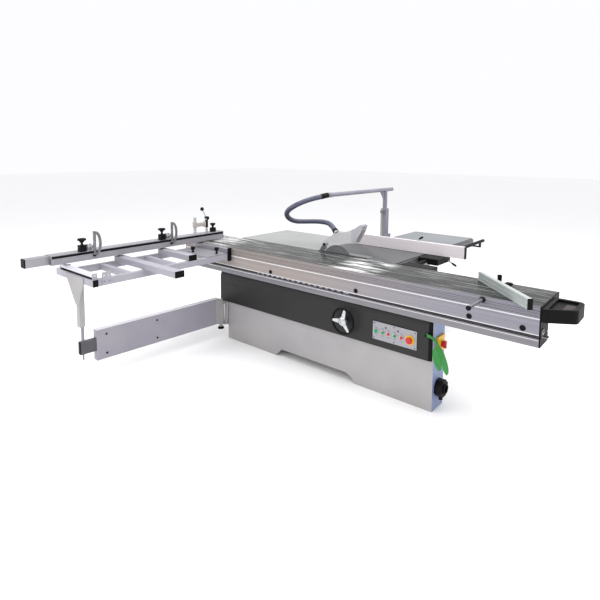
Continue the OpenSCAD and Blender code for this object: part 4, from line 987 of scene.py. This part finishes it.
# %% Handwheel
WHEEL = (270, 0, 480)
RIM_R, RIM_THICK, RIM_SIDES = 92, 8, 12
rim_circle = [(RIM_R + RIM_THICK * math.cos(a), RIM_THICK * math.sin(a))
    for a in (math.tau * i / RIM_SIDES for i in range(RIM_SIDES))]
fit("wheel_rim", "handwheel", BLACK, [turned(rim_circle, WHEEL, "-y", 64, True),
    rod_between((WHEEL[0], 10, WHEEL[2]), (WHEEL[0], 140, WHEEL[2]), 12)], ["handwheel"])
spoke = [(14, -19), (55, -14), (86, -10), (91, 0), (86, 10), (55, 14), (14, 19)]
fit("wheel_spokes", "handwheel", CHROME,
    [drawn_out(spoke, 8, 2.5, WHEEL, "-y", turn, 3) for turn in (78, 183, 308)]
    + [turned([(0, -12), (32, -12), (34, 0), (34, 9), (31, 14), (22, 18.5), (10, 20.5), (9, 17),
        (0, 17)], WHEEL, "-y", 40)])

# %% [markdown]
# The push stick hangs on its peg. It is one moulding: a round handle that bends over the peg and
# two flat blades like a fish's tail. The blades are plates with a rounded edge, and the handle is
# a tube whose rings follow a bent line.

# %% Push stick
def bent_bar(points, radii, sides=16):
    """Round bar along a line of points, with a ring at each, bridged one to the next."""
    bm = bmesh.new()
    loops = []
    for i, (spot, radius) in enumerate(zip(points, radii)):
        ahead = (points[min(i + 1, len(points) - 1)] - points[max(i - 1, 0)]).normalized()
        side = ahead.cross((0, 1, 0)).normalized()
        basis = Matrix((side, ahead.cross(side), ahead)).transposed().to_4x4()
        made = bmesh.ops.create_circle(bm, cap_ends=False, radius=radius, segments=sides,
            matrix=Matrix.Translation(spot) @ basis)
        loops.append(list({e for v in made["verts"] for e in v.link_edges}))
    for near, far in zip(loops, loops[1:]):
        bmesh.ops.bridge_loops(bm, edges=near + far)
    bmesh.ops.holes_fill(bm, edges=[e for e in bm.edges if e.is_boundary], sides=0)
    bmesh.ops.recalc_face_normals(bm, faces=bm.faces)
    return bm, Matrix()


def smooth_line(points, steps=5):
    """More points on a smooth curve through the given (x, y) or (x, y, z) points."""
    spots = [Vector(p).to_3d() for p in points]
    spans = len(spots) - 1
    return [curve_at(spots, i, k / steps) for i in range(spans) for k in range(steps)] + [spots[-1]]


PEG_X, PEG_Z = 915, 527
handle_line = smooth_line([(912, 33, 526), (924, 33, 527), (944, 33, 524), (968, 33, 513),
    (988, 33, 494), (1005, 33, 468), (1020, 33, 438), (1030, 33, 408)])
handle_radii = [6.0, 9.5, 9.5]
handle_radii += [10.5 - 3.0 * i / len(handle_line) for i in range(len(handle_line) - 3)]
long_blade = [(996, 486), (1014, 474), (1037, 443), (1067, 372), (1075, 324), (1067, 301),
    (1055, 306), (1042, 324), (1028, 368), (1008, 424)]
short_blade = [(984, 478), (966, 440), (964, 410), (971, 373), (990, 332), (1010, 314),
    (1026, 322), (1029, 352), (1020, 396), (1006, 440)]
blades = [drawn_out([p.to_2d() for p in smooth_line(outline)], 8, 2.4, (0, y, 0), "-y", segments=3)
    for outline, y in ((long_blade, 38), (short_blade, 36.5))]
fit("push_stick_green", NODE_BODY["push_stick"], STICK, [bent_bar(handle_line, handle_radii)]
    + blades + [ring(9, 5.2, 0, 9.5, (PEG_X, 47.6, PEG_Z))], ["push_stick"])
fit("stick_peg", "frame", BLACK, [turned([(0, 0), (5, 0), (5, 23), (9, 23.5), (9, 26), (7.5, 27),
    (0, 27)], (PEG_X, 48, PEG_Z), "-y")])

# %% [markdown]
# The grip at the carriage's end, the push handle and the mitre fence use the same blanks. The
# grip is the CAD shape, rounded generously, with a warm brown inlay where the fingers pull. The
# mitre fence lies askew on the carriage, so all its blanks are carried there by one matrix.

# %% Carriage end and mitre fence
dress("end_grip", 7, BLACK, segments=4)
fit("grip_inlay", "carriage", BROWN, [block((1688, 1738), (90, 226), (846.2, 848.5), 0.8)])
fit("push_bar", "carriage", PLATE, [rod_between((1282, -214, 850), (1282, -14, 850), 9.5)],
    ["push_handle"])
fit("push_ends", "carriage", BLACK, [
    turned([(0, -16), (6, -15), (11, -11), (14.5, -5), (15, 0), (14.5, 5), (11, 11), (6, 15),
        (0, 16)], (1282, -222, 850), "-y"),
    turned([(0, 0), (17, 0), (18, 2), (18, 6), (12, 14), (0, 14)], (1282, -4, 850), "-y")])
ASKEW = Matrix.Translation((1125, 346, 870)) @ Matrix.Rotation(math.radians(-46), 4, "Z")
fit("mitre_profile", "mitre_fence", MITRE, leaned(ASKEW, block((0, 622), (0, 28), (0, 62), 1.2),
    block((150, 320), (28, 88), (0, 10), 1.5),
    *[block((0, 622), (-1.4, 0.4), (z, z + 5), 0.6) for z in (4, 28, 52)]), ["mitre_fence"])
fit("mitre_cap", "mitre_fence", BLACK,
    leaned(ASKEW, block((622, 630), (-0.6, 28.6), (0, 62.6), 2)))
fit("mitre_grip", "mitre_fence", BLACK, leaned(ASKEW,
    turned([(0, 10), (15, 10), (16, 13), (13, 20), (13.5, 60), (15, 76), (11, 81.5), (0, 82)],
        (178, 60, 0)), star_knob(22, 26, 7, 30, (300, 60, 8))))

# %% [markdown]
# The eccentric clamp presses a board onto the table. Its lever turns two cams on the column, and
# they push the arm down the column: a black sleeve, a light casting and a bright spindle with a
# foot. The lever ends in a black ball.

# %% Clamp
COLUMN, SPINDLE = (-1372, 65, 0), (-1372, -70, 0)
HINGE, CLAMP_BALL = Vector((-1372, 65, 1086)), Vector((-1372, 15, 1181))
lever = CLAMP_BALL - HINGE
fit("clamp_column", "clamp", CHROME, [turned([(0, 985.3), (15, 985.3), (16, 986.3), (16, 988),
    (14, 989.2), (9, 989.2), (9, 1096), (7.5, 1098), (0, 1098)], COLUMN)], ["clamp_post"])
fit("clamp_sleeve", "clamp_arm", BLACK, [turned([(9.3, 1003), (14, 1003), (15, 1004.5),
    (15, 1072.5), (13.5, 1074.2), (9.3, 1074.2)], COLUMN, closed=True)], ["clamp_arm"])
fit("clamp_casting", "clamp_arm", IVORY, [block((-1383, -1361), (-60, 53), (1019, 1057), 8, 3),
    block((-1381, -1363), (30, 54), (1008, 1066), 6, 3),
    turned([(0, 1014), (17, 1014), (20, 1018), (20, 1064), (16, 1070), (0, 1070)], SPINDLE,
        steps=40)])
fit("clamp_spindle", "clamp_arm", CHROME, [turned([(0, 967), (16, 967), (17, 968.5), (17, 975),
    (14, 977), (13.5, 979), (13.5, 1109), (11, 1112), (0, 1112)], SPINDLE, steps=40)])
fit("lever_cams", "clamp_lever", BLACK, [
    turned([(0, 0), (16, 0), (17, 1), (17, 5.6), (16, 6.6), (0, 6.6)], (x, 71, 1092), "x", 40)
    for x in (-1387.9, -1362.6)] + [
    turned([(0, -15.9), (3.5, -15.9), (4, -15), (4, 15), (3.5, 15.9), (0, 15.9)], HINGE, "x"),
    (block((-15.5, 15.5), (-5, 5), (12, 21), 1.5)[0], stand(HINGE, lever))], ["clamp_lever"])
fit("lever_rod", "clamp_lever", CHROME,
    [rod_between(HINGE + lever.normalized() * 20, CLAMP_BALL, 4.2)])
fit("lever_ball", "clamp_lever", BLACK, [turned([(0, -18), (7, -16.6), (12.7, -12.7), (16.6, -7),
    (18, 0), (16.6, 7), (12.7, 12.7), (7, 16.6), (0, 18)], CLAMP_BALL, lever)])

# %% [markdown]
# The rip fence locks with a lever behind it: a hub that the pin runs through and a tapering grip
# that rises along the fence. The carrier below has a lock lever of the same kind, which points
# down.

# %% Rip fence levers
fit("rip_lock_grip", "rip_lock", BLACK, [turned([(0, -10), (9.5, -10), (10.5, -9), (10.5, 9),
    (9.5, 10), (0, 10)], (362, 960, 947), "y"), turned([(0, 0), (6, 0), (6.5, 3), (9, 20), (9, 34),
    (7, 40), (0, 42)], (382, 960, 983), (0.87, 0, 0.5), 24)], ["rip_lock_lever"])
fit("rip_lock_rod", "rip_lock", CHROME, [rod_between((360, 960, 952), (366, 960, 974), 5.5),
    rod_between((364, 960, 972.5), (385, 960, 984.7), 5.5)])
grip_way = Vector((0.89, 0, -0.46)).normalized()
grip_start = Vector((645, 960, 836))
fit("carrier_rod", "rip_carrier", STEEL,
    [rod_between(grip_start, grip_start + grip_way * 44, 4)])
fit("carrier_grip", "rip_carrier", BLACK, [turned([(0, 0), (6.5, 0), (7, 2), (9, 14), (9, 38),
    (6.5, 45.5), (0, 48)], (681, 960, 817.3), grip_way, 24)])

# %% [markdown]
# Four bolts hold the slide tube's guide plates to the swing arm. The arm hangs on a sleeve round
# its pivot, and the leg's king pin comes out below the tube. A dark wiper strip and a bracket sit
# on the outrigger's end beam below the roller.

# %% Bolts, pivot and beam strip
fit("arm_bolts", "swing_arm", BLACK, leaned(ARM_LEAN, *[
    turned([(0, 0), (7, 0), (7.5, 0.8), (7.5, 4), (6.5, 5), (0, 5)], (-1088.5, y, z), "x", 24)
    for y in (-1075, -652) for z in (192, 340)]))
fit("hinge_sleeve", "swing_arm", CREAM, leaned(ARM_LEAN,
    ring(30, 27, 151, 329, (ARM_X, ARM_Y, 0), "z", 1.5),
    block((-1089.5, -1086.5), (-58, 14), (154, 382), 1.2)))
fit("pivot_web", "frame", CREAM, [block((-1089, -1056), (34, 48), (150.3, 329.7), 2)])
fit("king_pin_end", "swing_arm", STEEL, [turned([(0, 0), (9, 0), (10, 1), (10, 8), (6, 8), (6, 43),
    (5, 45), (0, 45)], (KING_X, KING_Y, 224.8), "-z")])
fit("beam_strip", "carriage", BLACK, [block((-1446, -962), (-1257, -1230), (815, 822)),
    block((-1444, -1437), (-1256, -1190), (820, 850))])

# %% [markdown]
# The hood keeps the CAD model's shape and gets its clear finish, the bolt that joins it to the
# riving knife, and cuffs on both ends of the hose. The cuff at the pipe follows the hose's bend.
# The red knob of the isolator is the last solid that keeps its own shape.

# %% Hood and hose ends
dress("guard", 2, HOOD)
fit("hood_bolt", "tilt_unit", BLACK, [
    turned([(0, 0), (11, 0), (12, 1.5), (12, 6), (9, 8), (0, 8)], (-226, 412, 936), "-y"),
    turned([(0, 0), (11, 0), (11, 6), (0, 6)], (-226, 448, 936), "y")])
fit("pipe_end", "frame", PIPE, [turned([(20.5, 0), (22.4, 0), (23, 0.8), (23, 49), (22.8, 50),
    (22.55, 50), (22.55, 2), (20.5, 2)], (-260, 541, 1350), "-y", 40, True)])
collar = [(22.3, 0.046), (22.8, 0.047), (23, 0.05)]
collar += [(23, 0.05 + 0.006 * i) for i in range(1, 8)] + [(22.8, 0.1), (22.3, 0.101)]
collar += [(22.3, 0.1 - 0.01 * i) for i in range(1, 5)]
fit("pipe_cuff", "frame", BLACK, [(along_hose(spun(collar, 40, True)), Matrix())])
fit("hood_cuff", "tilt_unit", BLACK, [turned([(20.1, -30), (24, -30), (25, -28), (25, 24),
    (23, 26), (22.2, 26), (22.2, 0), (20.1, 0)], (-150, 470, 1048), (-0.72, 0.69, 0.1), 40, True)])
dress("isolator_knob", 3, RED, segments=3)

# %% [markdown]
# Two dark lines run along the saw and give it its look: the rubber wiper on the carriage's lower
# edge, which keeps dust off the rollers and looks dashed in the middle, and the stop groove along
# the side of the crosscut fence. The wiper is a thin strip on the real saw too; the groove is
# shown by a thin black strip on the fence's side, which is painted shade.

# %% Wiper strips and painted groove shade
fit("wiper_backing", "carriage", PIPE, [block((-618, 318), (-1.2, 3), (692.6, 704.4), 0.6, 1)])
fit("carriage_wiper", "carriage", RUBBER,
    [block((x, x + 26), (-2.2, 3), (692.8, 704.2), 0.6, 1) for x in range(-596, 300, 56)]
    + [block(x, (-1.4, 3), (694, 703), 0.6, 1) for x in ((-1598, -620), (320, 1598))])
# A black strip on the fence's side stands for the groove: painted shade.
fit("fence_groove_shade", "crosscut_fence", BLACK,
    [block((-1341, -1338.8), (-1366, 236), (927, 945), 0.6)])
print("fittings done")
